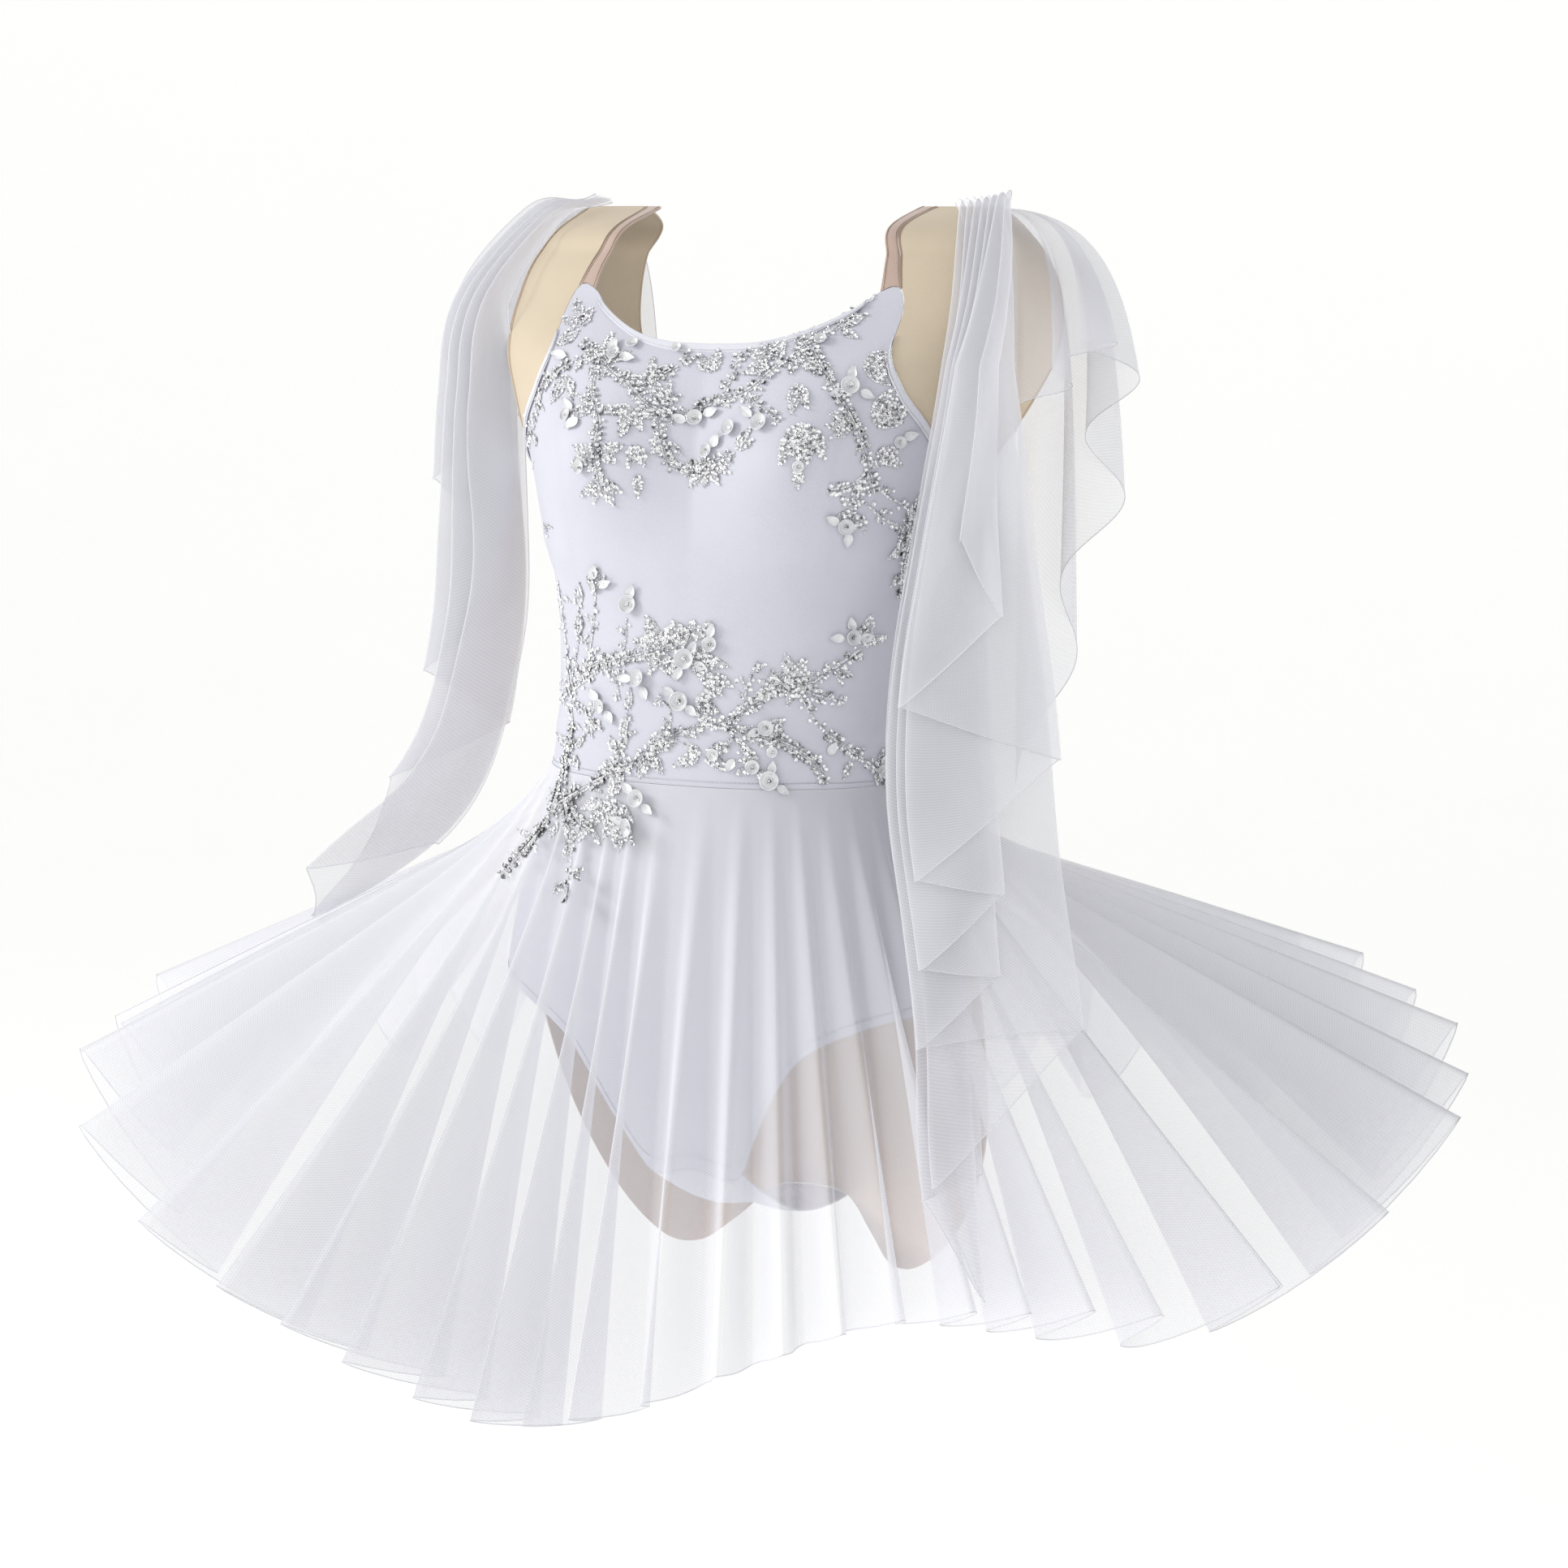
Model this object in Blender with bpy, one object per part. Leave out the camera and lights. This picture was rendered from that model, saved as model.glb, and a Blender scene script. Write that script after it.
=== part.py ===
"""Dance leotard with a sheer circle skirt and sheer shoulder drapes, in the hollow form that it has when worn.

Metres, +Z up, the front faces -Y and the wearer's left is +X.
The origin is midway between the tops of the two shoulders, where the garment hangs from its wearer.
"""

import math
from collections import namedtuple

import bmesh
import bpy
import numpy as np
from mathutils.geometry import delaunay_2d_cdt

# Cloth and seams
WALL = 0.0012
SHEER_WALL = 0.0010
SEAM_GAP = 0.0003
BAND_WIDTH = 0.006
BAND_THICK = 0.0010
BAND_LIFT = 0.0006

# Heights of the garment's main lines
WAIST_SEAM_Z = -0.352
UNDERARM_Z = -0.166
HIP_LEG_Z = -0.490
CROWN_Z = -0.0002
CROTCH_Z = -0.600
SEAT_Z = -0.655
SIDE_ANGLE = 5.0
GUSSET_SHARE = 0.20
GUSSET_SAG = 0.016
GUSSET_ROWS = 8

# The general figure that the cut is shaped for, as rings: half an ellipse in front and half behind,
# squared off by an exponent of 2 or more
Ring = namedtuple("Ring", "z centre_y half_width front back front_square back_square")
FIGURE = [
    Ring(-0.720, -0.062, 0.112, 0.020, 0.060, 2.0, 2.3),
    Ring(-0.680, -0.066, 0.138, 0.040, 0.092, 2.0, 2.3),
    Ring(-0.640, -0.070, 0.152, 0.060, 0.110, 2.1, 2.3),
    Ring(-0.600, -0.074, 0.159, 0.072, 0.118, 2.1, 2.3),
    Ring(-0.550, -0.078, 0.161, 0.086, 0.119, 2.2, 2.3),
    Ring(-0.500, -0.080, 0.158, 0.092, 0.115, 2.2, 2.3),
    Ring(-0.420, -0.080, 0.142, 0.091, 0.102, 2.2, 2.2),
    Ring(-0.352, -0.080, 0.121, 0.087, 0.086, 2.2, 2.2),
    Ring(-0.290, -0.078, 0.1165, 0.082, 0.074, 2.2, 2.2),
    Ring(-0.240, -0.069, 0.124, 0.083, 0.078, 2.2, 2.3),
    Ring(-0.200, -0.060, 0.138, 0.084, 0.086, 2.2, 2.4),
    Ring(-0.150, -0.048, 0.156, 0.088, 0.094, 2.2, 2.6),
    Ring(-0.120, -0.040, 0.174, 0.088, 0.090, 2.2, 2.8),
    Ring(-0.090, -0.031, 0.190, 0.088, 0.080, 2.3, 3.0),
    Ring(-0.060, -0.021, 0.195, 0.071, 0.066, 2.5, 2.8),
    Ring(-0.030, -0.011, 0.185, 0.060, 0.050, 2.5, 2.6),
    Ring(-0.010, -0.004, 0.165, 0.044, 0.038, 2.5, 2.5),
    Ring(0.000, 0.000, 0.157, 0.0003, 0.0003, 2.5, 2.5),
]

# Bust shaping of the front
BUST_X = 0.074
BUST_Z = -0.150
BUST_DEPTH = 0.025
BUST_SPREAD_X = 0.038
BUST_SPREAD_Z = 0.034

# The edge that a panel is cut to, from its centre line (share 0) to its side seam (share 1)
Cut = namedtuple("Cut", "share angle z")
FRONT_TOP = [
    Cut(0.00, -90.0, -0.0840),
    Cut(0.12, -83.0, -0.0825),
    Cut(0.24, -76.0, -0.0755),
    Cut(0.34, -69.0, -0.0620),
    Cut(0.40, -64.5, -0.0510),
    Cut(0.45, -60.0, -0.0495),
    Cut(0.51, -56.5, -0.0820),
    Cut(0.59, -49.0, -0.1060),
    Cut(0.69, -37.0, -0.1280),
    Cut(0.80, -23.0, -0.1480),
    Cut(0.90, -8.0, -0.1610),
    Cut(1.00, SIDE_ANGLE, UNDERARM_Z),
]
BACK_TOP = [
    Cut(0.00, 90.0, -0.2300),
    Cut(0.18, 81.0, -0.2240),
    Cut(0.32, 71.0, -0.1980),
    Cut(0.42, 62.5, -0.1500),
    Cut(0.49, 57.0, -0.0950),
    Cut(0.54, 56.0, -0.0450),
    Cut(0.58, 54.5, -0.0150),
    Cut(0.61, 53.3, CROWN_Z),
    Cut(0.69, 24.0, CROWN_Z),
    Cut(0.73, 25.5, -0.0200),
    Cut(0.77, 26.0, -0.0450),
    Cut(0.82, 25.0, -0.0800),
    Cut(0.88, 20.0, -0.1180),
    Cut(0.94, 13.0, -0.1480),
    Cut(1.00, SIDE_ANGLE, UNDERARM_Z),
]
BACK_CORNERS = [BACK_TOP[0], BACK_TOP[7], BACK_TOP[8], BACK_TOP[-1]]
# The back panel's flat pattern: where round the body its height is measured, and its width to a degree
BACK_PROFILE_ANGLE = 42.0
BACK_LEVELS = 60
BACK_METRES_PER_DEGREE = 0.0026
BACK_EDGE_SAMPLES = 60
BACK_EDGE_STEP = 0.013
BACK_INSIDE_STEP = 0.022
BACK_GRID_HALF = 12
BRIEF_LEG = [
    Cut(0.00, -90.0, CROTCH_Z),
    Cut(0.17, -78.5, CROTCH_Z),
    Cut(0.24, -75.0, -0.5780),
    Cut(0.34, -69.5, -0.5460),
    Cut(0.46, -62.0, -0.5200),
    Cut(0.62, -47.0, -0.5020),
    Cut(0.80, -26.0, -0.4930),
    Cut(1.00, SIDE_ANGLE, HIP_LEG_Z),
]
SEAT_LEG = [
    Cut(0.00, 90.0, SEAT_Z),
    Cut(0.14, 82.0, SEAT_Z - 0.004),
    Cut(0.28, 72.0, -0.6800),
    Cut(0.42, 60.0, -0.6950),
    Cut(0.56, 46.0, -0.6900),
    Cut(0.68, 34.0, -0.6620),
    Cut(0.80, 23.0, -0.6100),
    Cut(0.90, 14.0, -0.5500),
    Cut(1.00, SIDE_ANGLE, HIP_LEG_Z),
]

# The circle skirt: how steeply its folds fall, and how long and deep they are, round the body.
# The slope is in degrees below the horizontal, and the angle is 0 at the wearer's left, -90 in front
SKIRT_FOLDS = 40
SKIRT_STEPS_PER_FOLD = 6
SKIRT_ROWS = 5
SKIRT_ROW_POWER = 1.5
SKIRT_DIP = 0.022
SKIRT_DIP_AT = 0.18
SKIRT_CLEARANCE = WALL + SEAM_GAP
# How much wider than their crests the folds' valleys are, and how fast the folds open below the seam
FOLD_ROUNDING = 0.22
FOLD_OPENING_POWER = 0.4
# Folds of uneven width and depth: a share of one fold, and how often it comes and goes
UNEVEN_WIDTHS = [(0.14, 5), (0.10, 9)]
UNEVEN_DEPTH = 0.22
UNEVEN_DEPTH_RATES = (2.1, 0.9)
Flare = namedtuple("Flare", "angle slope length fold")
SKIRT = [
    Flare(-180.0, 36.0, 0.418, 6.5),
    Flare(-165.0, 44.0, 0.415, 7.0),
    Flare(-150.0, 57.0, 0.402, 7.0),
    Flare(-135.0, 67.0, 0.392, 6.5),
    Flare(-120.0, 73.0, 0.398, 5.5),
    Flare(-105.0, 76.0, 0.404, 5.0),
    Flare(-90.0, 76.0, 0.388, 4.5),
    Flare(-70.0, 74.0, 0.355, 4.5),
    Flare(-45.0, 70.0, 0.327, 5.0),
    Flare(-20.0, 66.0, 0.345, 5.5),
    Flare(0.0, 57.0, 0.385, 6.5),
    Flare(20.0, 41.0, 0.405, 7.5),
    Flare(40.0, 33.0, 0.415, 8.0),
    Flare(65.0, 32.0, 0.420, 8.0),
    Flare(95.0, 40.0, 0.420, 8.0),
    Flare(125.0, 38.0, 0.420, 8.0),
    Flare(150.0, 32.0, 0.420, 7.5),
    Flare(180.0, 36.0, 0.418, 6.5),
]
SIDE_SEAM = 0.006

# The drapes: the way that the innermost layer hangs, with half the width of its folds.
# Only the cloth's middle line is listed, from the shoulder down
Hang = namedtuple("Hang", "x y z half_width")
LEFT_FRONT_HANG = [
    Hang(0.121, -0.015, 0.0050, 0.0015),
    Hang(0.138, -0.048, -0.005, 0.005),
    Hang(0.158, -0.082, -0.060, 0.015),
    Hang(0.163, -0.094, -0.120, 0.024),
    Hang(0.160, -0.096, -0.200, 0.036),
    Hang(0.163, -0.102, -0.280, 0.047),
    Hang(0.172, -0.116, -0.350, 0.053),
    Hang(0.192, -0.142, -0.420, 0.052),
    Hang(0.212, -0.168, -0.490, 0.053),
    Hang(0.226, -0.190, -0.550, 0.054),
    Hang(0.236, -0.208, -0.600, 0.050),
    Hang(0.244, -0.222, -0.640, 0.046),
]
RIGHT_FRONT_HANG = [
    Hang(-0.121, -0.015, 0.0050, 0.0015),
    Hang(-0.142, -0.048, -0.005, 0.005),
    Hang(-0.164, -0.090, -0.060, 0.014),
    Hang(-0.170, -0.084, -0.120, 0.026),
    Hang(-0.178, -0.060, -0.200, 0.036),
    Hang(-0.188, -0.056, -0.280, 0.046),
    Hang(-0.206, -0.056, -0.345, 0.044),
    Hang(-0.238, -0.064, -0.398, 0.040),
    Hang(-0.280, -0.080, -0.438, 0.034),
    Hang(-0.325, -0.106, -0.470, 0.022),
]

# Where the drape's hem turns back on itself, from the innermost layer to the outermost: how far to the
# side, as a share of half the width there, and how long the cloth is down to that turn
Turn = namedtuple("Turn", "side length")
LEFT_TURNS = [
    Turn(-0.20, 0.640),
    Turn(-0.95, 0.655),
    Turn(-0.30, 0.712),
    Turn(-0.85, 0.645),
    Turn(1.00, 0.550),
    Turn(-1.00, 0.555),
    Turn(0.10, 0.515),
    Turn(-0.92, 0.505),
    Turn(0.20, 0.462),
    Turn(-0.85, 0.450),
    Turn(1.00, 0.378),
    Turn(-1.00, 0.345),
    Turn(0.35, 0.290),
    Turn(-0.35, 0.245),
]
RIGHT_TURNS = [
    Turn(0.60, 0.490),
    Turn(-0.70, 0.560),
    Turn(0.70, 0.575),
    Turn(-0.90, 0.460),
    Turn(0.90, 0.400),
    Turn(-1.00, 0.365),
    Turn(0.95, 0.315),
    Turn(-1.00, 0.225),
    Turn(0.40, 0.205),
    Turn(-0.35, 0.150),
]
STEPS_PER_TURN = 4
DRAPE_ROWS = 12
SHOULDER_LEVELS = [0.0, 0.014, 0.032, 0.060, 0.105]
HANG_SAMPLES = 80
LAYER_TOP = 0.0023
LAYER_SPREAD_LENGTH = 0.14
LAYER_TOP_FALL = 0.05

# The short flounce over the arm and behind it: how far out, which way and how long its cloth falls
Flounce = namedtuple("Flounce", "share angle reach length")
FLOUNCE = [
    Flounce(0.00, -20.0, 0.056, 0.110),
    Flounce(0.25, 5.0, 0.078, 0.118),
    Flounce(0.50, 32.0, 0.080, 0.150),
    Flounce(0.75, 62.0, 0.078, 0.250),
    Flounce(1.00, 92.0, 0.070, 0.420),
]
FLOUNCE_FOLDS = 5
FLOUNCE_STEPS_PER_FOLD = 6
FLOUNCE_ROWS = 9
FLOUNCE_FOLD_DEPTH = 0.010
FLOUNCE_SWING = 2.4
FLOUNCE_ROOT = (0.139, 0.004, 0.0002)
FLOUNCE_ROOT_RADIUS = 0.009
FLOUNCE_OPENING_LENGTH = 0.05
FLOUNCE_CREST_LENGTH = 0.045
FLOUNCE_TOP_RIPPLE = 0.6

WHITE = ("white_knit", (0.93, 0.93, 0.97), 0.62)
NUDE = ("nude_knit", (0.80, 0.68, 0.53), 0.60)
STRAP_NUDE = ("strap_elastic", (0.78, 0.60, 0.53), 0.55)
SHEER = ("sheer_mesh", (0.94, 0.94, 0.98), 0.70)
SHARP_ANGLE = 50.0


def clear_scene():
    for obj in list(bpy.data.objects):
        bpy.data.objects.remove(obj)


def material(finish):
    name, colour, roughness = finish
    made = bpy.data.materials.get(name)
    if made is None:
        made = bpy.data.materials.new(name)
        made.use_nodes = True
        shader = made.node_tree.nodes["Principled BSDF"]
        shader.inputs["Base Color"].default_value = (*colour, 1.0)
        shader.inputs["Roughness"].default_value = roughness
        shader.inputs["Metallic"].default_value = 0.0
    return made


def smooth(rows, key, at):
    """The rows' other columns at a value of the key column, on a smooth curve through the rows."""
    keys = np.array([getattr(row, key) for row in rows], float)
    values = np.array([row for row in rows], float)
    at = float(np.clip(at, keys[0], keys[-1]))
    i = int(np.clip(np.searchsorted(keys, at) - 1, 0, len(keys) - 2))
    slopes = np.gradient(values, keys, axis=0)
    step = keys[i + 1] - keys[i]
    t = (at - keys[i]) / step
    curve = (
        (2 * t**3 - 3 * t**2 + 1) * values[i]
        + (t**3 - 2 * t**2 + t) * step * slopes[i]
        + (3 * t**2 - 2 * t**3) * values[i + 1]
        + (t**3 - t**2) * step * slopes[i + 1]
    )
    return type(rows[0])(*curve)


def bust(x, z):
    across = (abs(x) - BUST_X) / BUST_SPREAD_X
    along = (z - BUST_Z) / BUST_SPREAD_Z
    return BUST_DEPTH * math.exp(-0.5 * (across**2 + along**2))


def figure_point(angle, z):
    """A point of the figure's ring at this height. The angle is 0 at the wearer's left, 90 behind."""
    ring = smooth(FIGURE, "z", z)
    c, s = math.cos(math.radians(angle)), math.sin(math.radians(angle))
    behind = s > 0
    power = 2.0 / (ring.back_square if behind else ring.front_square)
    x = ring.half_width * math.copysign(abs(c) ** power, c)
    depth = (ring.back if behind else ring.front) * abs(s) ** power
    y = ring.centre_y + math.copysign(depth, s)
    if not behind:
        y -= bust(x, z) * abs(s)
    return np.array([x, y, z])


def unit(vector):
    return vector / max(np.linalg.norm(vector), 1e-12)


def figure_normal(angle, z):
    small_angle, small_z = 1.0, 0.002
    along = figure_point(angle + small_angle, z) - figure_point(angle - small_angle, z)
    up = figure_point(angle, z + small_z) - figure_point(angle, z - small_z)
    return unit(np.cross(along, up))


def mean_directions(points, axis):
    """At each point, the mean of the ways to it and from it along one axis of the grid."""
    steps = np.diff(points, axis=axis)
    steps /= np.maximum(np.linalg.norm(steps, axis=2, keepdims=True), 1e-12)
    first, last = steps.take([0], axis=axis), steps.take([-1], axis=axis)
    return np.concatenate([first, steps], axis=axis) + np.concatenate([steps, last], axis=axis)


def grid_normals(points):
    """Unit normals of a grid of points, rows by columns, which also hold where the cloth folds back."""
    normals = np.cross(mean_directions(points, 1), mean_directions(points, 0))
    return normals / np.maximum(np.linalg.norm(normals, axis=2, keepdims=True), 1e-12)


def enclosed_volume(mesh):
    """The volume inside a closed mesh, negative where its faces point in."""
    edit = bmesh.new()
    edit.from_mesh(mesh)
    volume = edit.calc_volume(signed=True)
    edit.free()
    return volume


def add_object(name, vertices, faces, finish):
    """An object of its own for a closed mesh whose faces all turn the same way."""
    mesh = bpy.data.meshes.new(name)
    mesh.from_pydata([tuple(v) for v in vertices], [], faces)
    if enclosed_volume(mesh) < 0:
        mesh.flip_normals()
    mesh.materials.append(material(finish))
    mesh.shade_smooth()
    mesh.set_sharp_from_angle(angle=math.radians(SHARP_ANGLE))
    obj = bpy.data.objects.new(name, mesh)
    bpy.context.scene.collection.objects.link(obj)
    return obj


def shell(name, inner, outer, triangles, rim, finish):
    """A closed wall between two rows of points joined into the same triangles, closed at the rim."""
    back = len(inner)
    faces = list(triangles)
    faces += [tuple(back + corner for corner in reversed(triangle)) for triangle in triangles]
    for first, second in zip(rim, rim[1:] + rim[:1]):
        faces.append((second, first, back + first, back + second))
    return add_object(name, np.concatenate([inner, outer]), faces, finish)


def wall(name, inner, outer, finish):
    """A closed cloth wall between two grids of points, rows by columns.

    Both sides are split along the same diagonals, the shorter ones, so that they keep apart.
    """
    rows, columns = inner.shape[:2]
    middle = ((inner + outer) / 2).reshape(-1, 3)

    def at(row, column):
        return row * columns + column

    triangles = []
    for row in range(rows - 1):
        for column in range(columns - 1):
            a, b, c, d = at(row, column), at(row, column + 1), at(row + 1, column + 1), at(row + 1, column)
            falling, rising = np.linalg.norm(middle[a] - middle[c]), np.linalg.norm(middle[b] - middle[d])
            triangles += [(a, b, c), (a, c, d)] if falling < rising else [(a, b, d), (b, c, d)]
    rim = [at(0, c) for c in range(columns)]
    rim += [at(r, columns - 1) for r in range(1, rows)]
    rim += [at(rows - 1, c) for c in range(columns - 2, -1, -1)]
    rim += [at(r, 0) for r in range(rows - 2, 0, -1)]
    return shell(name, inner.reshape(-1, 3), outer.reshape(-1, 3), triangles, rim, finish)


def cloth(name, points, thickness, finish):
    """A cloth wall of this thickness on both sides of a grid of points."""
    normals = grid_normals(points)
    half = thickness / 2
    return wall(name, points - normals * half, points + normals * half, finish)


def panel_point(top, bottom_angles, bottom_z, share, t):
    """Angle and height on a panel: t is 0 at its straight edge and 1 at its cut edge."""
    cut = smooth(top, "share", abs(share))
    start_angle = bottom_angles[0] + (bottom_angles[1] - bottom_angles[0]) * abs(share)
    turn = t * t * (3 - 2 * t)
    angle = start_angle + (cut.angle - start_angle) * turn
    return angle, bottom_z + (cut.z - bottom_z) * t


def panel_grid(top, bottom_angles, bottom_z, shares, heights, seam_shift=0.0):
    """Points and normals on the figure, rows by columns. Negative shares are on the wearer's right."""
    points = np.empty((len(heights), len(shares), 3))
    normals = np.empty_like(points)
    for column, share in enumerate(shares):
        for row, t in enumerate(heights):
            angle, z = panel_point(top, bottom_angles, bottom_z, share, t)
            angle += seam_shift * abs(share) ** SEAM_SHIFT_POWER
            point, normal = figure_point(angle, z), figure_normal(angle, z)
            if share < 0:
                point[0] *= -1
                normal[0] *= -1
            points[row, column] = point
            normals[row, column] = normal
    return points, normals


def both_sides(table, fine=False):
    """The shares of a half panel's rows, for both of its halves. Fine adds one between each two."""
    half = [row.share for row in table]
    if fine:
        half = sorted(half + [(a + b) / 2 for a, b in zip(half, half[1:])])
    return [-share for share in reversed(half[1:])] + half


# Half of a side seam's gap as a turn round the body, and how close to the seam a panel gives way to it
WAIST_HALF_WIDTH = 0.12
SEAM_TURN = math.degrees(SEAM_GAP / 2 / WAIST_HALF_WIDTH)
SEAM_SHIFT_POWER = 8
FRONT_ANGLES = (-90.0, SIDE_ANGLE)
BACK_ANGLES = (90.0, SIDE_ANGLE)
PANEL_HEIGHTS = np.linspace(0, 1, 10)
BRIEF_HEIGHTS = np.linspace(0, 1, 8)


def panel(name, cut, shares, seam_shift, finish):
    points, normals = panel_grid(*cut[:3], shares, cut[3], seam_shift)
    wall(name, points, points + normals * WALL, finish)


BODICE_EDGE = WAIST_SEAM_Z + SEAM_GAP / 2
BRIEF_EDGE = WAIST_SEAM_Z - SEAM_GAP / 2
FRONT_CUT = (FRONT_TOP, FRONT_ANGLES, BODICE_EDGE, PANEL_HEIGHTS)
BRIEF_CUT = (BRIEF_LEG, FRONT_ANGLES, BRIEF_EDGE, BRIEF_HEIGHTS)
SEAT_CUT = (SEAT_LEG, BACK_ANGLES, BRIEF_EDGE, BRIEF_HEIGHTS)


def resampled(line, spacing):
    """A line of points, rows of two, with its ends kept and even steps of about this length between."""
    steps = np.linalg.norm(np.diff(line, axis=0), axis=1)
    lengths = np.concatenate([[0], np.cumsum(steps)])
    count = max(1, round(lengths[-1] / spacing))
    at = np.linspace(0, lengths[-1], count + 1)
    return np.column_stack([np.interp(at, lengths, line[:, 0]), np.interp(at, lengths, line[:, 1])])


def is_inside(point, outline, margin):
    """Whether a point of the flat pattern lies inside its outline by at least this margin."""
    ends = np.roll(outline, -1, axis=0)
    way = ends - outline
    share = np.clip(((point - outline) * way).sum(axis=1) / (way**2).sum(axis=1), 0, 1)
    if np.linalg.norm(outline + way * share[:, None] - point, axis=1).min() < margin:
        return False
    straddles = (outline[:, 1] > point[1]) != (ends[:, 1] > point[1])
    drop = np.where(straddles, way[:, 1], 1.0)
    crossing = outline[:, 0] + (point[1] - outline[:, 1]) / drop * way[:, 0]
    return int((straddles & (crossing > point[0])).sum()) % 2 == 1


def make_back():
    """The back panel, cut from a flat pattern: across is metres round the body, up is metres along it."""
    levels = np.linspace(BODICE_EDGE, CROWN_Z, BACK_LEVELS)
    profile = np.array([figure_point(BACK_PROFILE_ANGLE, z) for z in levels])
    heights = np.concatenate([[0], np.cumsum(np.linalg.norm(np.diff(profile, axis=0), axis=1))])

    def flat(angle, z):
        return np.array([(90.0 - angle) * BACK_METRES_PER_DEGREE, np.interp(z, levels, heights)])

    stations = [(first.share, last.share) for first, last in zip(BACK_CORNERS, BACK_CORNERS[1:])]
    edges = []
    for start, end in stations:
        cuts = [smooth(BACK_TOP, "share", share) for share in np.linspace(start, end, BACK_EDGE_SAMPLES)]
        edges.append(resampled(np.array([flat(cut.angle, cut.z) for cut in cuts]), BACK_EDGE_STEP))
    top = np.concatenate([edge[:-1] for edge in edges] + [edges[-1][-1:]])
    side_angle = SIDE_ANGLE + SEAM_TURN
    top[-1, 0] = flat(side_angle, UNDERARM_Z)[0]
    side_levels = BODICE_EDGE + (UNDERARM_Z - BODICE_EDGE) * PANEL_HEIGHTS
    side = np.array([flat(side_angle, z) for z in side_levels[-2::-1]])
    bottom = resampled(np.array([side[-1], [0.0, 0.0]]), BACK_INSIDE_STEP)[1:-1]
    half = np.concatenate([top, side, bottom])
    mirrored = half[1:][::-1] * [-1, 1]
    outline = np.concatenate([half, [[0.0, 0.0]], mirrored])[::-1]
    inside = []
    row_step = BACK_INSIDE_STEP * math.sqrt(3) / 2
    for row in range(1, int(heights[-1] / row_step) + 1):
        for column in range(-BACK_GRID_HALF, BACK_GRID_HALF + 1):
            point = np.array([(column + (row % 2) / 2) * BACK_INSIDE_STEP, row * row_step])
            if is_inside(point, outline, BACK_INSIDE_STEP / 2):
                inside.append(point)
    pattern = np.concatenate([outline, inside])
    rim = list(range(len(outline)))
    triangles = delaunay_2d_cdt([tuple(p) for p in pattern], [], [rim], 1, 1e-7)[2]
    points, normals = [], []
    for across, up in pattern:
        angle = 90.0 - abs(across) / BACK_METRES_PER_DEGREE
        z = float(np.interp(up, heights, levels))
        mirror = [-1, 1, 1] if across < 0 else [1, 1, 1]
        points.append(figure_point(angle, z) * mirror)
        normals.append(figure_normal(angle, z) * mirror)
    points, normals = np.array(points), np.array(normals)
    shell("bodice_back", points, points + normals * WALL, [tuple(t) for t in triangles], rim, NUDE)


def make_bodice():
    panel("bodice_front", FRONT_CUT, both_sides(FRONT_TOP, True), -SEAM_TURN, WHITE)
    make_back()


def make_brief():
    panel("brief_front", BRIEF_CUT, both_sides(BRIEF_LEG), -SEAM_TURN, WHITE)
    panel("brief_seat", SEAT_CUT, both_sides(SEAT_LEG), SEAM_TURN, NUDE)
    make_gusset()


def make_gusset():
    """The strip between the legs, from the front's lower edge to the seat's."""
    ends = []
    for cut in (BRIEF_CUT, SEAT_CUT):
        table, angles, edge_z, heights = cut
        narrow = [share for share in both_sides(table) if abs(share) < GUSSET_SHARE]
        points, normals = panel_grid(table, angles, edge_z, narrow, heights)
        ends.append(points[-1] + normals[-1] * WALL / 2)
    front, back = ends
    grid = np.empty((GUSSET_ROWS + 1, len(front), 3))
    for row in range(GUSSET_ROWS + 1):
        t = row / GUSSET_ROWS
        grid[row] = front + (back - front) * t
        grid[row, :, 2] -= SEAM_GAP + GUSSET_SAG * math.sin(math.pi * t)
    wall("gusset", grid, grid + np.array([0, 0, -WALL]), WHITE)


def edge_band(name, cut, first, last, finish):
    """An elastic binding on the outside of a panel, along its cut edge between two shares."""
    table, angles, edge_z, heights = cut
    shares = [share for share in both_sides(table, True) if first <= share <= last]
    points, normals = panel_grid(table, angles, edge_z, shares, heights[-2:], -SEAM_TURN)
    below, edge = points + normals * WALL
    length = np.linalg.norm(below - edge, axis=1, keepdims=True)
    inner_edge = edge + (below - edge) * BAND_WIDTH / length
    lift = normals[1] * BAND_LIFT
    rows = np.stack([inner_edge + lift, edge + lift])
    return wall(name, rows, rows + normals[1] * BAND_THICK, finish)


NECK_END = 0.37
ARMHOLE_START = 0.50
ARMHOLE_END = 0.95


def make_bindings():
    edge_band("neck_binding", FRONT_CUT, -NECK_END, NECK_END, WHITE)
    edge_band("armhole_binding_left", FRONT_CUT, ARMHOLE_START, ARMHOLE_END, WHITE)
    edge_band("armhole_binding_right", FRONT_CUT, -ARMHOLE_END, -ARMHOLE_START, WHITE)


YokeColumn = namedtuple("YokeColumn", "share mid_angle crown_angle")
STRAP_COLUMNS = [
    YokeColumn(0.400, -62.8, -59.0),
    YokeColumn(0.450, -59.5, -53.4),
]
YOKE_COLUMNS = [
    YokeColumn(0.450, -59.1, -53.0),
    YokeColumn(0.800, -38.0, -24.0),
]
YOKE_ROWS = 8
YOKE_RISE_POWER = 1.4
SHARE_TOLERANCE = 0.001


def through_three(first, middle, last, t):
    """A value that goes from the first over the middle to the last as t goes from 0 to 1."""
    return first * (1 - t) * (1 - 2 * t) + middle * 4 * t * (1 - t) + last * t * (2 * t - 1)


def shares_between(columns):
    """The front's shares from the first column to the last one."""
    low, high = columns[0].share - SHARE_TOLERANCE, columns[-1].share + SHARE_TOLERANCE
    return [share for share in both_sides(FRONT_TOP, True) if low < share < high]


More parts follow.
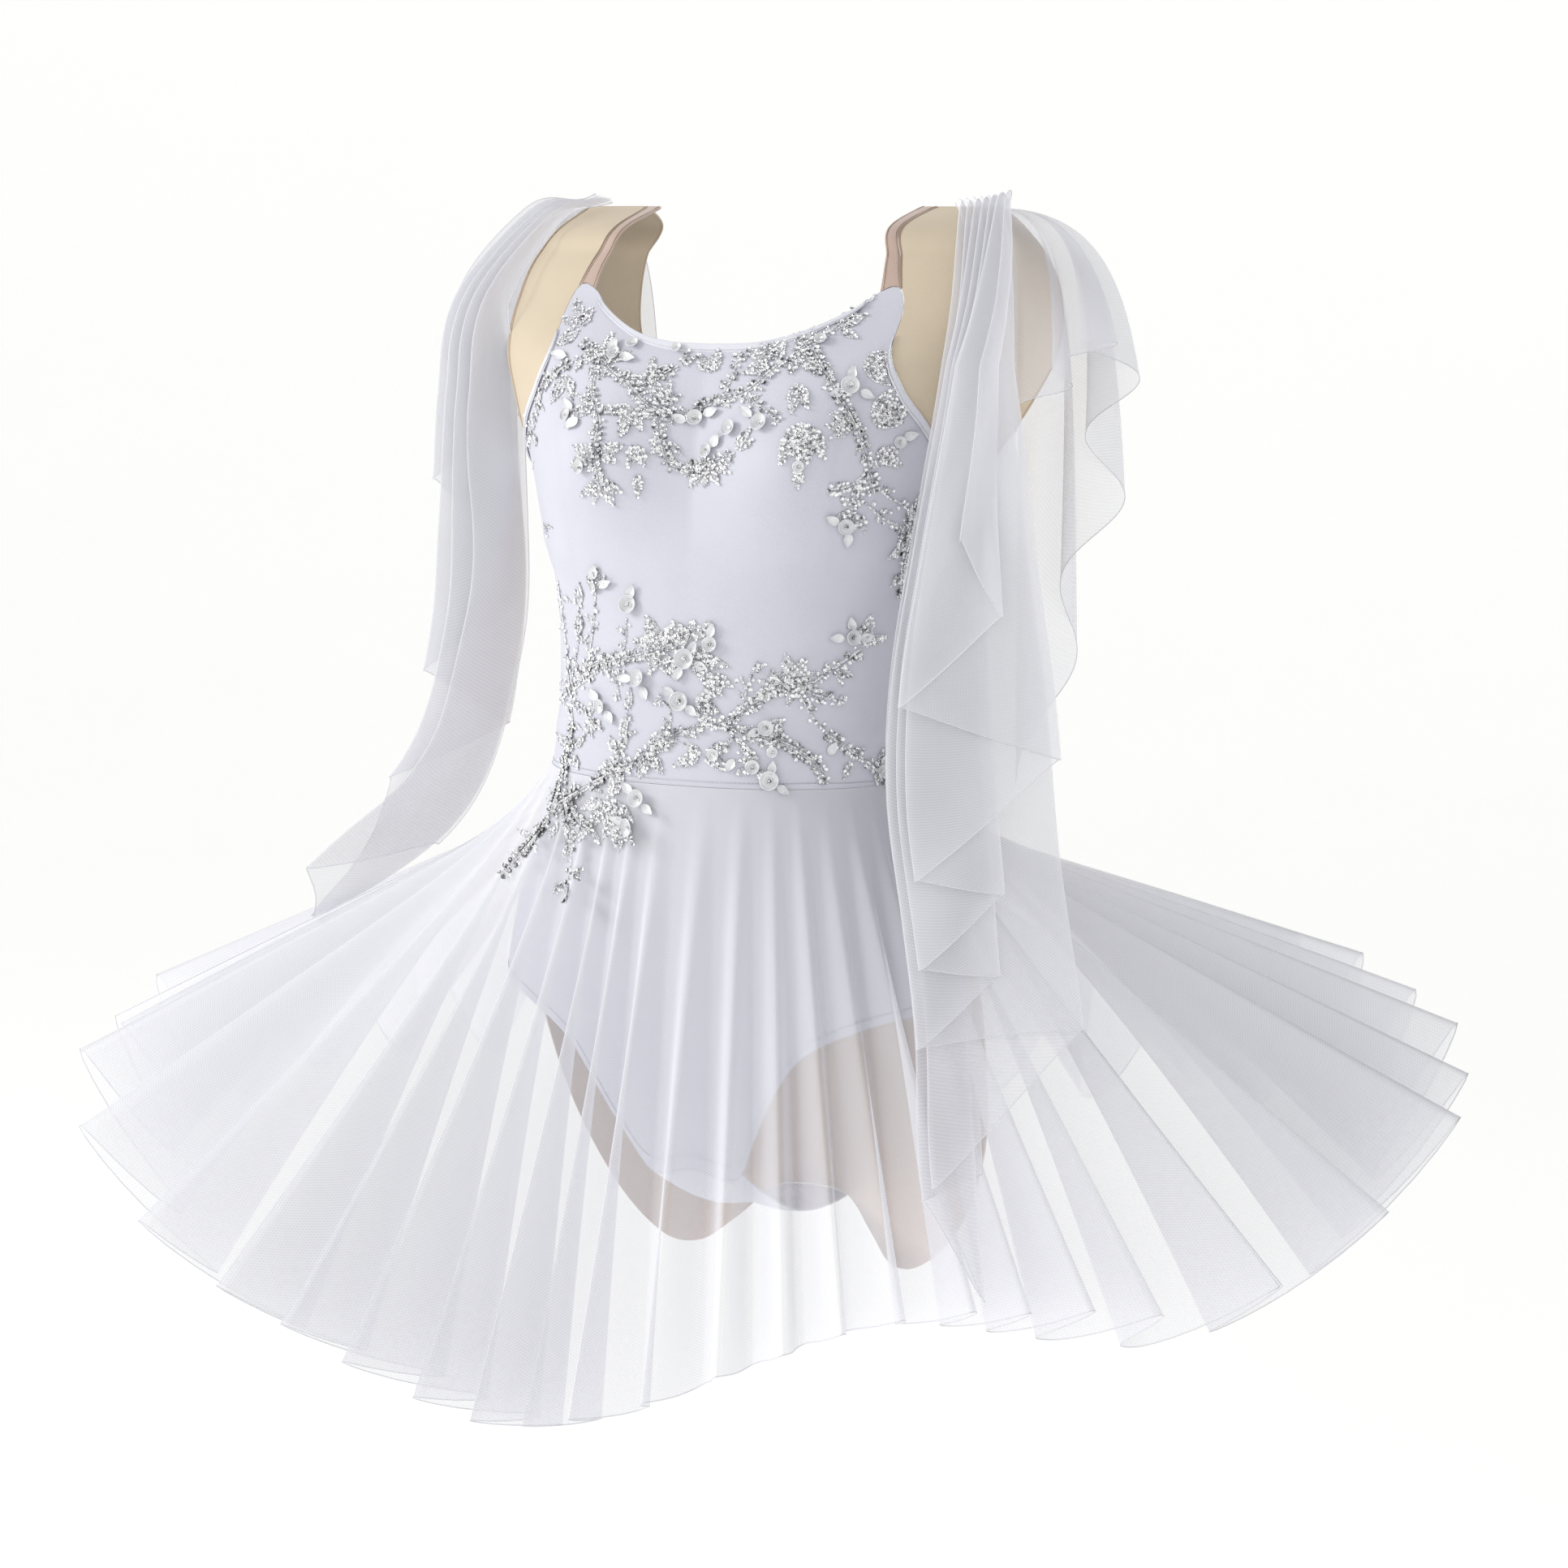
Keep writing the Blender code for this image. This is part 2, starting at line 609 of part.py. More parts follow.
def shoulder_grid(columns, shares, turn):
    """Points and normals from the front's top edge up to the top of the shoulder, on the wearer's left."""
    points = np.empty((YOKE_ROWS, len(shares), 3))
    normals = np.empty_like(points)
    for column, share in enumerate(shares):
        cut = smooth(FRONT_TOP, "share", share)
        across = (share - columns[0].share) / (columns[-1].share - columns[0].share)
        mid_angle = columns[0].mid_angle + (columns[-1].mid_angle - columns[0].mid_angle) * across
        crown_angle = columns[0].crown_angle + (columns[-1].crown_angle - columns[0].crown_angle) * across
        low_z = cut.z + SEAM_GAP
        for row in range(YOKE_ROWS):
            t = row / (YOKE_ROWS - 1)
            angle = through_three(cut.angle, mid_angle, crown_angle, t)
            z = low_z + (CROWN_Z - low_z) * (1 - (1 - t) ** YOKE_RISE_POWER)
            points[row, column] = figure_point(angle + turn, z)
            normals[row, column] = figure_normal(angle + turn, z)
    return points, normals


def make_shoulders():
    """The elastic straps, and the nude yokes from the straps out to the armholes."""
    for side, sign in (("left", 1), ("right", -1)):
        mirror = np.array([sign, 1, 1])
        points, normals = shoulder_grid(STRAP_COLUMNS, shares_between(STRAP_COLUMNS), -SEAM_TURN)
        wall(f"strap_{side}", points * mirror, (points + normals * WALL) * mirror, STRAP_NUDE)
        points, normals = shoulder_grid(YOKE_COLUMNS, shares_between(YOKE_COLUMNS), SEAM_TURN)
        wall(f"yoke_{side}", points * mirror, (points + normals * WALL) * mirror, NUDE)


def fold_wave(turn):
    """A row of folds with rounded valleys and tighter crests, from -1 to 1, for a turn in folds."""
    phase = 2 * math.pi * turn
    return math.cos(phase) + FOLD_ROUNDING * (math.cos(2 * phase) - 1.0)


def fold_angle(turn):
    """The angle of a place counted in folds from the wearer's left, with folds of uneven width."""
    lap = 2 * math.pi * turn / SKIRT_FOLDS
    uneven = sum(share * math.sin(times * lap) for share, times in UNEVEN_WIDTHS)
    return 360.0 / SKIRT_FOLDS * (turn + uneven)


def skirt_point(turn, t):
    """A point of the skirt's inner surface: t is 0 at the waist seam and 1 at the hem."""
    angle = fold_angle(turn)
    flare = smooth(SKIRT, "angle", angle)
    quick, slow = UNEVEN_DEPTH_RATES
    fold = flare.fold * (1.0 + UNEVEN_DEPTH * math.sin(quick * turn) * math.cos(slow * turn + 1.0))
    slope = math.radians(flare.slope - fold * fold_wave(turn) * t**FOLD_OPENING_POWER)
    root = figure_point(angle, WAIST_SEAM_Z) + figure_normal(angle, WAIST_SEAM_Z) * SKIRT_CLEARANCE
    point = root + (heading(angle) * math.cos(slope) - np.array([0, 0, math.sin(slope)])) * flare.length * t
    point[2] -= SKIRT_DIP * math.cos(slope) ** 2 * t / SKIRT_DIP_AT * math.exp(1 - t / SKIRT_DIP_AT)
    return point


def make_skirt():
    """Two half circles of sheer mesh, gathered at the waist seam and joined at the sides."""
    rows = np.linspace(0, 1, SKIRT_ROWS) ** SKIRT_ROW_POWER
    half = SKIRT_FOLDS / 2
    columns = SKIRT_FOLDS * SKIRT_STEPS_PER_FOLD // 2 + 1
    for name, first in (("skirt_front", -half), ("skirt_back", 0.0)):
        turns = np.linspace(first + SIDE_SEAM, first + half - SIDE_SEAM, columns)
        grid = np.array([[skirt_point(turn, t) for turn in turns] for t in rows])
        normals = grid_normals(grid)
        normals[0] *= [1, 1, 0]
        normals[0] /= np.linalg.norm(normals[0], axis=1, keepdims=True)
        wall(name, grid, grid - normals * SHEER_WALL, SHEER)


def heading(degrees):
    """A level unit vector: 0 points to the wearer's left, -90 to the front."""
    return np.array([math.cos(math.radians(degrees)), math.sin(math.radians(degrees)), 0.0])


def hang_path(hang):
    """Arc lengths, points and half widths along a drape's middle line."""
    Keyed = namedtuple("Keyed", "key x y z half_width")
    keyed = [Keyed(key, *row) for key, row in enumerate(hang)]
    samples = np.array([smooth(keyed, "key", key) for key in np.linspace(0, len(hang) - 1, HANG_SAMPLES)])
    points = samples[:, 1:4]
    lengths = np.concatenate([[0], np.cumsum(np.linalg.norm(np.diff(points, axis=0), axis=1))])
    tangents = np.gradient(points, lengths, axis=0)
    return lengths, points, samples[:, 4], tangents


def lookup(lengths, values, at):
    if values.ndim == 1:
        return np.interp(at, lengths, values)
    return np.array([np.interp(at, lengths, values[:, k]) for k in range(values.shape[1])])


def drape_levels(length):
    """How far down the cloth each row of a drape lies: fixed over the shoulder, then even to the hem."""
    low = np.linspace(SHOULDER_LEVELS[-1], length, DRAPE_ROWS - len(SHOULDER_LEVELS) + 1)
    return SHOULDER_LEVELS + list(low[1:])


def drape_column(turns, column, spread):
    """Side, length, layer and way of the bend of a column of the folded cloth.

    Each turn has four columns: the turn itself, half way between two layers, then the layer's two ends
    with its middle between them. Where the cloth is gathered, at a spread of 0, all turns are alike.
    """
    first, part = divmod(column, STEPS_PER_TURN)
    last = min(first + 1, len(turns) - 1)
    sides = [turns[k].side * spread + (-1) ** k * (1 - spread) for k in (first, last)]
    if part == 0:
        return sides[0], turns[first].length, float(first), 0.0
    if part == 2:
        return sum(sides) / 2, (turns[first].length + turns[last].length) / 2, first + 0.5, 0.0
    near = 0 if part == 1 else 1
    bend = (sides[1 - near] - sides[near]) / 3
    return sides[near], turns[first + near].length, first + 0.5, bend


def drape_grid(drape):
    """Cloth folded to and fro in layers that get shorter outwards, so that its hem falls in a zigzag."""
    lengths, points, widths, tangents = hang_path(drape.hang)
    columns = (len(drape.turns) - 1) * STEPS_PER_TURN + 1
    grid = np.empty((DRAPE_ROWS, columns, 3))
    for column in range(columns):
        length = drape_column(drape.turns, column, 1.0)[1]
        for row, at in enumerate(drape_levels(length)):
            even = min(1.0, at / SHOULDER_LEVELS[-1])
            side, _, layer, bend = drape_column(drape.turns, column, even)
            spread = min(1.0, at / LAYER_SPREAD_LENGTH)
            pitch = LAYER_TOP + (drape.pitch_low - LAYER_TOP) * spread
            stack_angle = drape.stack_top + (drape.stack_low - drape.stack_top) * spread
            tangent = unit(lookup(lengths, tangents, at))
            stack = heading(stack_angle)
            stack[2] = -LAYER_TOP_FALL * (1 - spread)
            stack -= tangent * np.dot(stack, tangent) * (1 - spread)
            stack = unit(stack)
            across = unit(np.cross(stack, tangent)) * drape.turned
            width = lookup(lengths, widths, at)
            reach = width * side + math.copysign(min(pitch / 2, abs(width * bend)), bend)
            grid[row, column] = lookup(lengths, points, at) + across * reach + stack * pitch * layer
    return grid


def flounce_grid(sign):
    """A short flounce that fans out from the shoulder over the arm and hangs longer behind it."""
    columns = FLOUNCE_FOLDS * FLOUNCE_STEPS_PER_FOLD + 1
    grid = np.empty((FLOUNCE_ROWS, columns, 3))
    root = np.array(FLOUNCE_ROOT)
    for column in range(columns):
        share = column / (columns - 1)
        fall = smooth(FLOUNCE, "share", share)
        turn = share * FLOUNCE_FOLDS
        for row in range(FLOUNCE_ROWS):
            t = row / (FLOUNCE_ROWS - 1)
            at = fall.length * t
            open_up = 1 - math.exp(-at / FLOUNCE_OPENING_LENGTH)
            ripple = FLOUNCE_FOLD_DEPTH * math.sin(2 * math.pi * turn) * open_up * (FLOUNCE_TOP_RIPPLE + t)
            swing = math.radians(FLOUNCE_SWING) * math.cos(2 * math.pi * turn) * open_up
            way = math.radians(fall.angle) + swing
            radius = FLOUNCE_ROOT_RADIUS + (fall.reach - FLOUNCE_ROOT_RADIUS) * open_up + ripple
            drop = max(0.0, at - FLOUNCE_CREST_LENGTH * open_up)
            grid[row, column] = root + np.array([radius * math.cos(way), radius * math.sin(way), -drop])
    return grid * np.array([sign, 1, 1])


# A drape: its middle line and turns, which way its layers lie on each other at the top and lower down,
# which side its first layer starts from, and how far apart the layers are where they have spread
Drape = namedtuple("Drape", "hang turns stack_top stack_low turned pitch_low")
DRAPE_LEFT = Drape(LEFT_FRONT_HANG, LEFT_TURNS, -10.0, -55.0, 1, 0.0042)
DRAPE_RIGHT = Drape(RIGHT_FRONT_HANG, RIGHT_TURNS, -170.0, -200.0, -1, 0.0042)


def make_drapes():
    cloth("drape_front_left", drape_grid(DRAPE_LEFT), SHEER_WALL, SHEER)
    cloth("drape_front_right", drape_grid(DRAPE_RIGHT), SHEER_WALL, SHEER)
    cloth("drape_back_left", flounce_grid(1), SHEER_WALL, SHEER)
    cloth("drape_back_right", flounce_grid(-1), SHEER_WALL, SHEER)


def main():
    clear_scene()
    make_bodice()
    make_brief()
    make_bindings()
    make_shoulders()
    make_skirt()
    make_drapes()


main()
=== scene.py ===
"""The dance leotard as it looks: knit, sheer mesh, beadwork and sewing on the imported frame."""

import math

import bmesh
import bpy
import numpy as np
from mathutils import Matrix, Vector
from mathutils.bvhtree import BVHTree
from mathutils.geometry import delaunay_2d_cdt


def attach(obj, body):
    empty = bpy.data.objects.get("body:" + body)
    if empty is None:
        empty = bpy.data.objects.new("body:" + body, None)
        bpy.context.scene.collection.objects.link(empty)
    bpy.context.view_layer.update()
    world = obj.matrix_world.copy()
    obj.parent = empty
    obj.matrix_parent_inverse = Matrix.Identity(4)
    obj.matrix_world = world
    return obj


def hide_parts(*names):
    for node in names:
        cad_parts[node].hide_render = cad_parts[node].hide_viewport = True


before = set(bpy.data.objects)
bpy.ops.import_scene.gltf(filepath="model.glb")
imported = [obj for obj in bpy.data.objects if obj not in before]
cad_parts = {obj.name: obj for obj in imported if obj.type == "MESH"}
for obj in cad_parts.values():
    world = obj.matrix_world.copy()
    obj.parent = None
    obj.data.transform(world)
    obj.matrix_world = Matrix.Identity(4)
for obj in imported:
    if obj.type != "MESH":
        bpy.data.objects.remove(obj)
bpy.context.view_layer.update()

# The camera stands where the photograph was taken from
CAMERA_AZIMUTH = 25.0
CAMERA_ELEVATION = 9.0
CAMERA_DISTANCE = 2.37
CAMERA_TARGET = np.array([0.026, -0.065, -0.364])
CAMERA_LENS = 85.0
CAMERA_SENSOR = 36.0
PHOTO_SIDE = 1932

# The garment's form, as in its solids
WALL = 0.0012
SHEER_WALL = 0.0010
SEAM_GAP = 0.0003
BAND_WIDTH = 0.006
BAND_THICK = 0.0010
BAND_LIFT = 0.0006
BAND_STITCH_SHARE = 0.78
STRAP_CROWN = 0.0004
STRAP_CROWN_ANGLE = 1.3
STRAP_STITCH_LIFT = 0.0003
WAIST_SEAM_Z = -0.352
UNDERARM_Z = -0.166
HIP_LEG_Z = -0.490
CROWN_Z = -0.0002
CROTCH_Z = -0.600
SEAT_Z = -0.655
SIDE_ANGLE = 5.0
GUSSET_FRONT_SHARE = 0.17
GUSSET_BACK_SHARE = 0.14
GUSSET_SAG = 0.016
FIGURE = [
    (-0.720, -0.062, 0.112, 0.020, 0.060, 2.0, 2.3),
    (-0.680, -0.066, 0.138, 0.040, 0.092, 2.0, 2.3),
    (-0.640, -0.070, 0.152, 0.060, 0.110, 2.1, 2.3),
    (-0.600, -0.074, 0.159, 0.072, 0.118, 2.1, 2.3),
    (-0.550, -0.078, 0.161, 0.086, 0.119, 2.2, 2.3),
    (-0.500, -0.080, 0.158, 0.092, 0.115, 2.2, 2.3),
    (-0.420, -0.080, 0.142, 0.091, 0.102, 2.2, 2.2),
    (-0.352, -0.080, 0.121, 0.087, 0.086, 2.2, 2.2),
    (-0.290, -0.078, 0.1165, 0.082, 0.074, 2.2, 2.2),
    (-0.240, -0.069, 0.124, 0.083, 0.078, 2.2, 2.3),
    (-0.200, -0.060, 0.138, 0.084, 0.086, 2.2, 2.4),
    (-0.150, -0.048, 0.156, 0.088, 0.094, 2.2, 2.6),
    (-0.120, -0.040, 0.174, 0.088, 0.090, 2.2, 2.8),
    (-0.090, -0.031, 0.190, 0.088, 0.080, 2.3, 3.0),
    (-0.060, -0.021, 0.195, 0.071, 0.066, 2.5, 2.8),
    (-0.030, -0.011, 0.185, 0.060, 0.050, 2.5, 2.6),
    (-0.010, -0.004, 0.165, 0.044, 0.038, 2.5, 2.5),
    (0.000, 0.000, 0.157, 0.0003, 0.0003, 2.5, 2.5),
]
BUST_X = 0.074
BUST_Z = -0.150
BUST_DEPTH = 0.025
BUST_SPREAD_X = 0.038
BUST_SPREAD_Z = 0.034
FRONT_TOP = [
    (0.00, -90.0, -0.0840),
    (0.12, -83.0, -0.0825),
    (0.24, -76.0, -0.0755),
    (0.34, -69.0, -0.0620),
    (0.40, -64.5, -0.0510),
    (0.45, -60.0, -0.0495),
    (0.51, -56.5, -0.0820),
    (0.59, -49.0, -0.1060),
    (0.69, -37.0, -0.1280),
    (0.80, -23.0, -0.1480),
    (0.90, -8.0, -0.1610),
    (1.00, SIDE_ANGLE, UNDERARM_Z),
]
BACK_TOP = [
    (0.00, 90.0, -0.2300),
    (0.18, 81.0, -0.2240),
    (0.32, 71.0, -0.1980),
    (0.42, 62.5, -0.1500),
    (0.49, 57.0, -0.0950),
    (0.54, 56.0, -0.0450),
    (0.58, 54.5, -0.0150),
    (0.61, 53.3, CROWN_Z),
    (0.69, 24.0, CROWN_Z),
    (0.73, 25.5, -0.0200),
    (0.77, 26.0, -0.0450),
    (0.82, 25.0, -0.0800),
    (0.88, 20.0, -0.1180),
    (0.94, 13.0, -0.1480),
    (1.00, SIDE_ANGLE, UNDERARM_Z),
]
BACK_CORNERS = [0.00, 0.61, 0.69, 1.00]
BACK_PROFILE_ANGLE = 42.0
BACK_METRES_PER_DEGREE = 0.0026
BRIEF_LEG = [
    (0.00, -90.0, CROTCH_Z),
    (0.17, -78.5, CROTCH_Z),
    (0.24, -75.0, -0.5780),
    (0.34, -69.5, -0.5460),
    (0.46, -62.0, -0.5200),
    (0.62, -47.0, -0.5020),
    (0.80, -26.0, -0.4930),
    (1.00, SIDE_ANGLE, HIP_LEG_Z),
]
SEAT_LEG = [
    (0.00, 90.0, SEAT_Z),
    (0.14, 82.0, SEAT_Z - 0.004),
    (0.28, 72.0, -0.6800),
    (0.42, 60.0, -0.6950),
    (0.56, 46.0, -0.6900),
    (0.68, 34.0, -0.6620),
    (0.80, 23.0, -0.6100),
    (0.90, 14.0, -0.5500),
    (1.00, SIDE_ANGLE, HIP_LEG_Z),
]
SKIRT_FOLDS = 40
SKIRT_DIP = 0.022
SKIRT_DIP_AT = 0.18
SIDE_SEAM = 0.006
UNEVEN_WIDTHS = ((5, 0.14), (9, 0.10))
FOLD_ROUNDING = 0.22
FOLD_OPENING_POWER = 0.4
SKIRT = [
    (-180.0, 36.0, 0.418, 6.5),
    (-165.0, 44.0, 0.415, 7.0),
    (-150.0, 57.0, 0.402, 7.0),
    (-135.0, 67.0, 0.392, 6.5),
    (-120.0, 73.0, 0.398, 5.5),
    (-105.0, 76.0, 0.404, 5.0),
    (-90.0, 76.0, 0.388, 4.5),
    (-70.0, 74.0, 0.355, 4.5),
    (-45.0, 70.0, 0.327, 5.0),
    (-20.0, 66.0, 0.345, 5.5),
    (0.0, 57.0, 0.385, 6.5),
    (20.0, 41.0, 0.405, 7.5),
    (40.0, 33.0, 0.415, 8.0),
    (65.0, 32.0, 0.420, 8.0),
    (95.0, 40.0, 0.420, 8.0),
    (125.0, 38.0, 0.420, 8.0),
    (150.0, 32.0, 0.420, 7.5),
    (180.0, 36.0, 0.418, 6.5),
]
LEFT_FRONT_HANG = [
    (0.121, -0.015, 0.0050, 0.0015),
    (0.138, -0.048, -0.005, 0.005),
    (0.158, -0.082, -0.060, 0.015),
    (0.163, -0.094, -0.120, 0.024),
    (0.160, -0.096, -0.200, 0.036),
    (0.163, -0.102, -0.280, 0.047),
    (0.172, -0.116, -0.350, 0.053),
    (0.192, -0.142, -0.420, 0.052),
    (0.212, -0.168, -0.490, 0.053),
    (0.226, -0.190, -0.550, 0.054),
    (0.236, -0.208, -0.600, 0.050),
    (0.244, -0.222, -0.640, 0.046),
]
RIGHT_FRONT_HANG = [
    (-0.121, -0.015, 0.0050, 0.0015),
    (-0.142, -0.048, -0.005, 0.005),
    (-0.164, -0.090, -0.060, 0.014),
    (-0.170, -0.084, -0.120, 0.026),
    (-0.178, -0.060, -0.200, 0.036),
    (-0.188, -0.056, -0.280, 0.046),
    (-0.206, -0.056, -0.345, 0.044),
    (-0.238, -0.064, -0.398, 0.040),
    (-0.280, -0.080, -0.438, 0.034),
    (-0.325, -0.106, -0.470, 0.022),
]
LEFT_TURNS = [
    (-0.20, 0.640),
    (-0.95, 0.655),
    (-0.30, 0.712),
    (-0.85, 0.645),
    (1.00, 0.550),
    (-1.00, 0.555),
    (0.10, 0.515),
    (-0.92, 0.505),
    (0.20, 0.462),
    (-0.85, 0.450),
    (1.00, 0.378),
    (-1.00, 0.345),
    (0.35, 0.290),
    (-0.35, 0.245),
]
RIGHT_TURNS = [
    (0.60, 0.490),
    (-0.70, 0.560),
    (0.70, 0.575),
    (-0.90, 0.460),
    (0.90, 0.400),
    (-1.00, 0.365),
    (0.95, 0.315),
    (-1.00, 0.225),
    (0.40, 0.205),
    (-0.35, 0.150),
]
STEPS_PER_TURN = 4
DRAPE_ROWS = 72
DRAPE_EDGE_RADIUS = 0.00032
EVEN_LENGTH = 0.105
LAYER_TOP = 0.0023
LAYER_SPREAD_LENGTH = 0.14
LAYER_TOP_FALL = 0.05
PITCH_LOW = 0.0042
FLOUNCE = [
    (0.00, -60.0, 0.042, 0.185),
    (0.22, -25.0, 0.062, 0.150),
    (0.45, 10.0, 0.078, 0.125),
    (0.72, 50.0, 0.080, 0.235),
    (1.00, 92.0, 0.070, 0.420),
]
FLOUNCE_FOLDS = 6
FLOUNCE_FOLD_DEPTH = 0.011
FLOUNCE_SWING = 4.5
FLOUNCE_ROOT = np.array([0.139, 0.004, 0.0002])
FLOUNCE_ROOT_RADIUS = 0.009
FLOUNCE_OPENING_LENGTH = 0.05
FLOUNCE_TURN_OVER = 0.045
STRAP_COLUMNS = [(0.400, -62.8, -59.0), (0.450, -59.5, -53.4)]
YOKE_COLUMNS = [(0.450, -59.1, -53.0), (0.800, -38.0, -24.0)]
SEAM_TURN = math.degrees(SEAM_GAP / 2 / 0.12)
SEAM_SHIFT_POWER = 8
YOKE_RISE_POWER = 1.4
SHARP_ANGLE = math.radians(55)
# The cloth that shows starts a little outside the solid's inner face
INNER_LIFT = 0.0003
BODICE_EDGE = WAIST_SEAM_Z + SEAM_GAP / 2
BRIEF_EDGE = WAIST_SEAM_Z - SEAM_GAP / 2


# The form's own curves, for whole arrays at a time
def curve(rows):
    """A smooth curve through a table's rows. Its first column is the key."""
    values = np.array(rows, float)
    keys = values[:, 0]
    slopes = np.gradient(values, keys, axis=0)

    def at(where):
        where = np.clip(np.asarray(where, float), keys[0], keys[-1])
        i = np.clip(np.searchsorted(keys, where) - 1, 0, len(keys) - 2)
        step = (keys[i + 1] - keys[i])[..., None]
        t = (where - keys[i])[..., None] / step
        return (
            (2 * t**3 - 3 * t**2 + 1) * values[i]
            + (t**3 - 2 * t**2 + t) * step * slopes[i]
            + (3 * t**2 - 2 * t**3) * values[i + 1]
            + (t**3 - t**2) * step * slopes[i + 1]
        )

    return at


FIGURE_AT = curve(FIGURE)
FRONT_AT = curve(FRONT_TOP)
BACK_AT = curve(BACK_TOP)
BRIEF_AT = curve(BRIEF_LEG)
SEAT_AT = curve(SEAT_LEG)
SKIRT_AT = curve(SKIRT)
FLOUNCE_AT = curve(FLOUNCE)


def lengths_along(line):
    return np.concatenate([[0], np.cumsum(np.linalg.norm(np.diff(line, axis=0), axis=1))])


def unit(vectors):
    return vectors / np.maximum(np.linalg.norm(vectors, axis=-1, keepdims=True), 1e-12)


def figure_point(angle, z):
    angle, z = np.broadcast_arrays(np.asarray(angle, float), np.asarray(z, float))
    _, centre_y, half_width, front, back, front_square, back_square = np.moveaxis(FIGURE_AT(z), -1, 0)
    c, s = np.cos(np.radians(angle)), np.sin(np.radians(angle))
    behind = s > 0
    power = 2.0 / np.where(behind, back_square, front_square)
    x = half_width * np.sign(c) * np.abs(c) ** power
    y = centre_y + np.where(behind, back, -front) * np.abs(s) ** power
    across, along = (np.abs(x) - BUST_X) / BUST_SPREAD_X, (z - BUST_Z) / BUST_SPREAD_Z
    y = y - np.where(behind, 0.0, BUST_DEPTH * np.exp(-0.5 * (across**2 + along**2)) * np.abs(s))
    return np.stack([x, y, z], axis=-1)


def figure_normal(angle, z):
    along = figure_point(angle + 1.0, z) - figure_point(angle - 1.0, z)
    up = figure_point(angle, z + 0.002) - figure_point(angle, z - 0.002)
    return unit(np.cross(along, up))


def mirrored(angle, z, side):
    """Points and normals of the figure, mirrored to the wearer's right where side is negative."""
    mirror = np.stack([np.where(side < 0, -1.0, 1.0), np.ones(side.shape), np.ones(side.shape)], axis=-1)
    return figure_point(angle, z) * mirror, figure_normal(angle, z) * mirror


def panel_grid(top, angles, bottom_z, shares, heights, seam_shift=0.0):
    shares, heights = np.meshgrid(shares, heights)
    size = np.abs(shares)
    cut = top(size)
    start = angles[0] + (angles[1] - angles[0]) * size
    turn = heights**2 * (3 - 2 * heights)
    angle = start + (cut[..., 1] - start) * turn + seam_shift * size**SEAM_SHIFT_POWER
    z = bottom_z + (cut[..., 2] - bottom_z) * heights
    return mirrored(angle, z, shares)


def heading(degrees):
    radians = np.radians(degrees)
    return np.stack([np.cos(radians), np.sin(radians), np.zeros_like(radians)], axis=-1)


# Meshes
def grid_uv(points):
    """Lengths along and across a grid of points, in metres."""
    across = np.linalg.norm(np.diff(points, axis=1), axis=2).mean(axis=0)
    down = np.linalg.norm(np.diff(points, axis=0), axis=2).mean(axis=1)
    u = np.concatenate([[0], np.cumsum(across)])
    v = np.concatenate([[0], np.cumsum(down)])
    return np.stack(np.meshgrid(u, v), axis=-1)


def make_mesh(name, vertices, faces, uv=None, smooth=True):
    mesh = bpy.data.meshes.new(name)
    corners = [tuple(int(i) for i in face) for face in faces]
    mesh.from_pydata([tuple(v) for v in np.asarray(vertices)], [], corners)
    if uv is not None:
        layer = mesh.uv_layers.new(name="cloth")
        loops = np.empty(len(mesh.loops), dtype=np.int32)
        mesh.loops.foreach_get("vertex_index", loops)
        layer.data.foreach_set("uv", np.asarray(uv)[loops].astype(np.float32).ravel())
    if smooth:
        mesh.shade_smooth()
    obj = bpy.data.objects.new(name, mesh)
    bpy.context.scene.collection.objects.link(obj)
    return obj


def grid_faces(rows, columns, offset=0):
    index = np.arange(rows * columns).reshape(rows, columns) + offset
    corners = [index[:-1, :-1], index[:-1, 1:], index[1:, 1:], index[1:, :-1]]
    return np.stack(corners, axis=-1).reshape(-1, 4)


def sheet_mesh(name, points):
    rows, columns = points.shape[:2]
    return make_mesh(name, points.reshape(-1, 3), grid_faces(rows, columns), grid_uv(points).reshape(-1, 2))


def thick_mesh(name, inner, outer):
    """A closed thin wall between two grids."""
    rows, columns = inner.shape[:2]
    count = rows * columns
    faces = [tuple(f) for f in grid_faces(rows, columns)]
    faces += [tuple(reversed(f)) for f in grid_faces(rows, columns, count).tolist()]
    index = np.arange(count).reshape(rows, columns)
    rim = np.concatenate([index[0], index[1:, -1], index[-1, -2::-1], index[-2:0:-1, 0]])
    for first, second in zip(rim, np.roll(rim, -1)):
        faces.append((second, first, count + first, count + second))
    uv = np.concatenate([grid_uv(inner).reshape(-1, 2)] * 2)
    obj = make_mesh(name, np.concatenate([inner.reshape(-1, 3), outer.reshape(-1, 3)]), faces, uv)
    obj.data.set_sharp_from_angle(angle=SHARP_ANGLE)
    return obj


def ring_faces(rings, sides, start=0):
    """Faces between rings of points that follow each other."""
    faces = []
    for ring in range(rings - 1):
        for k in range(sides):
            a, b = start + ring * sides + k, start + ring * sides + (k + 1) % sides
            faces.append((a, b, b + sides, a + sides))
    return faces


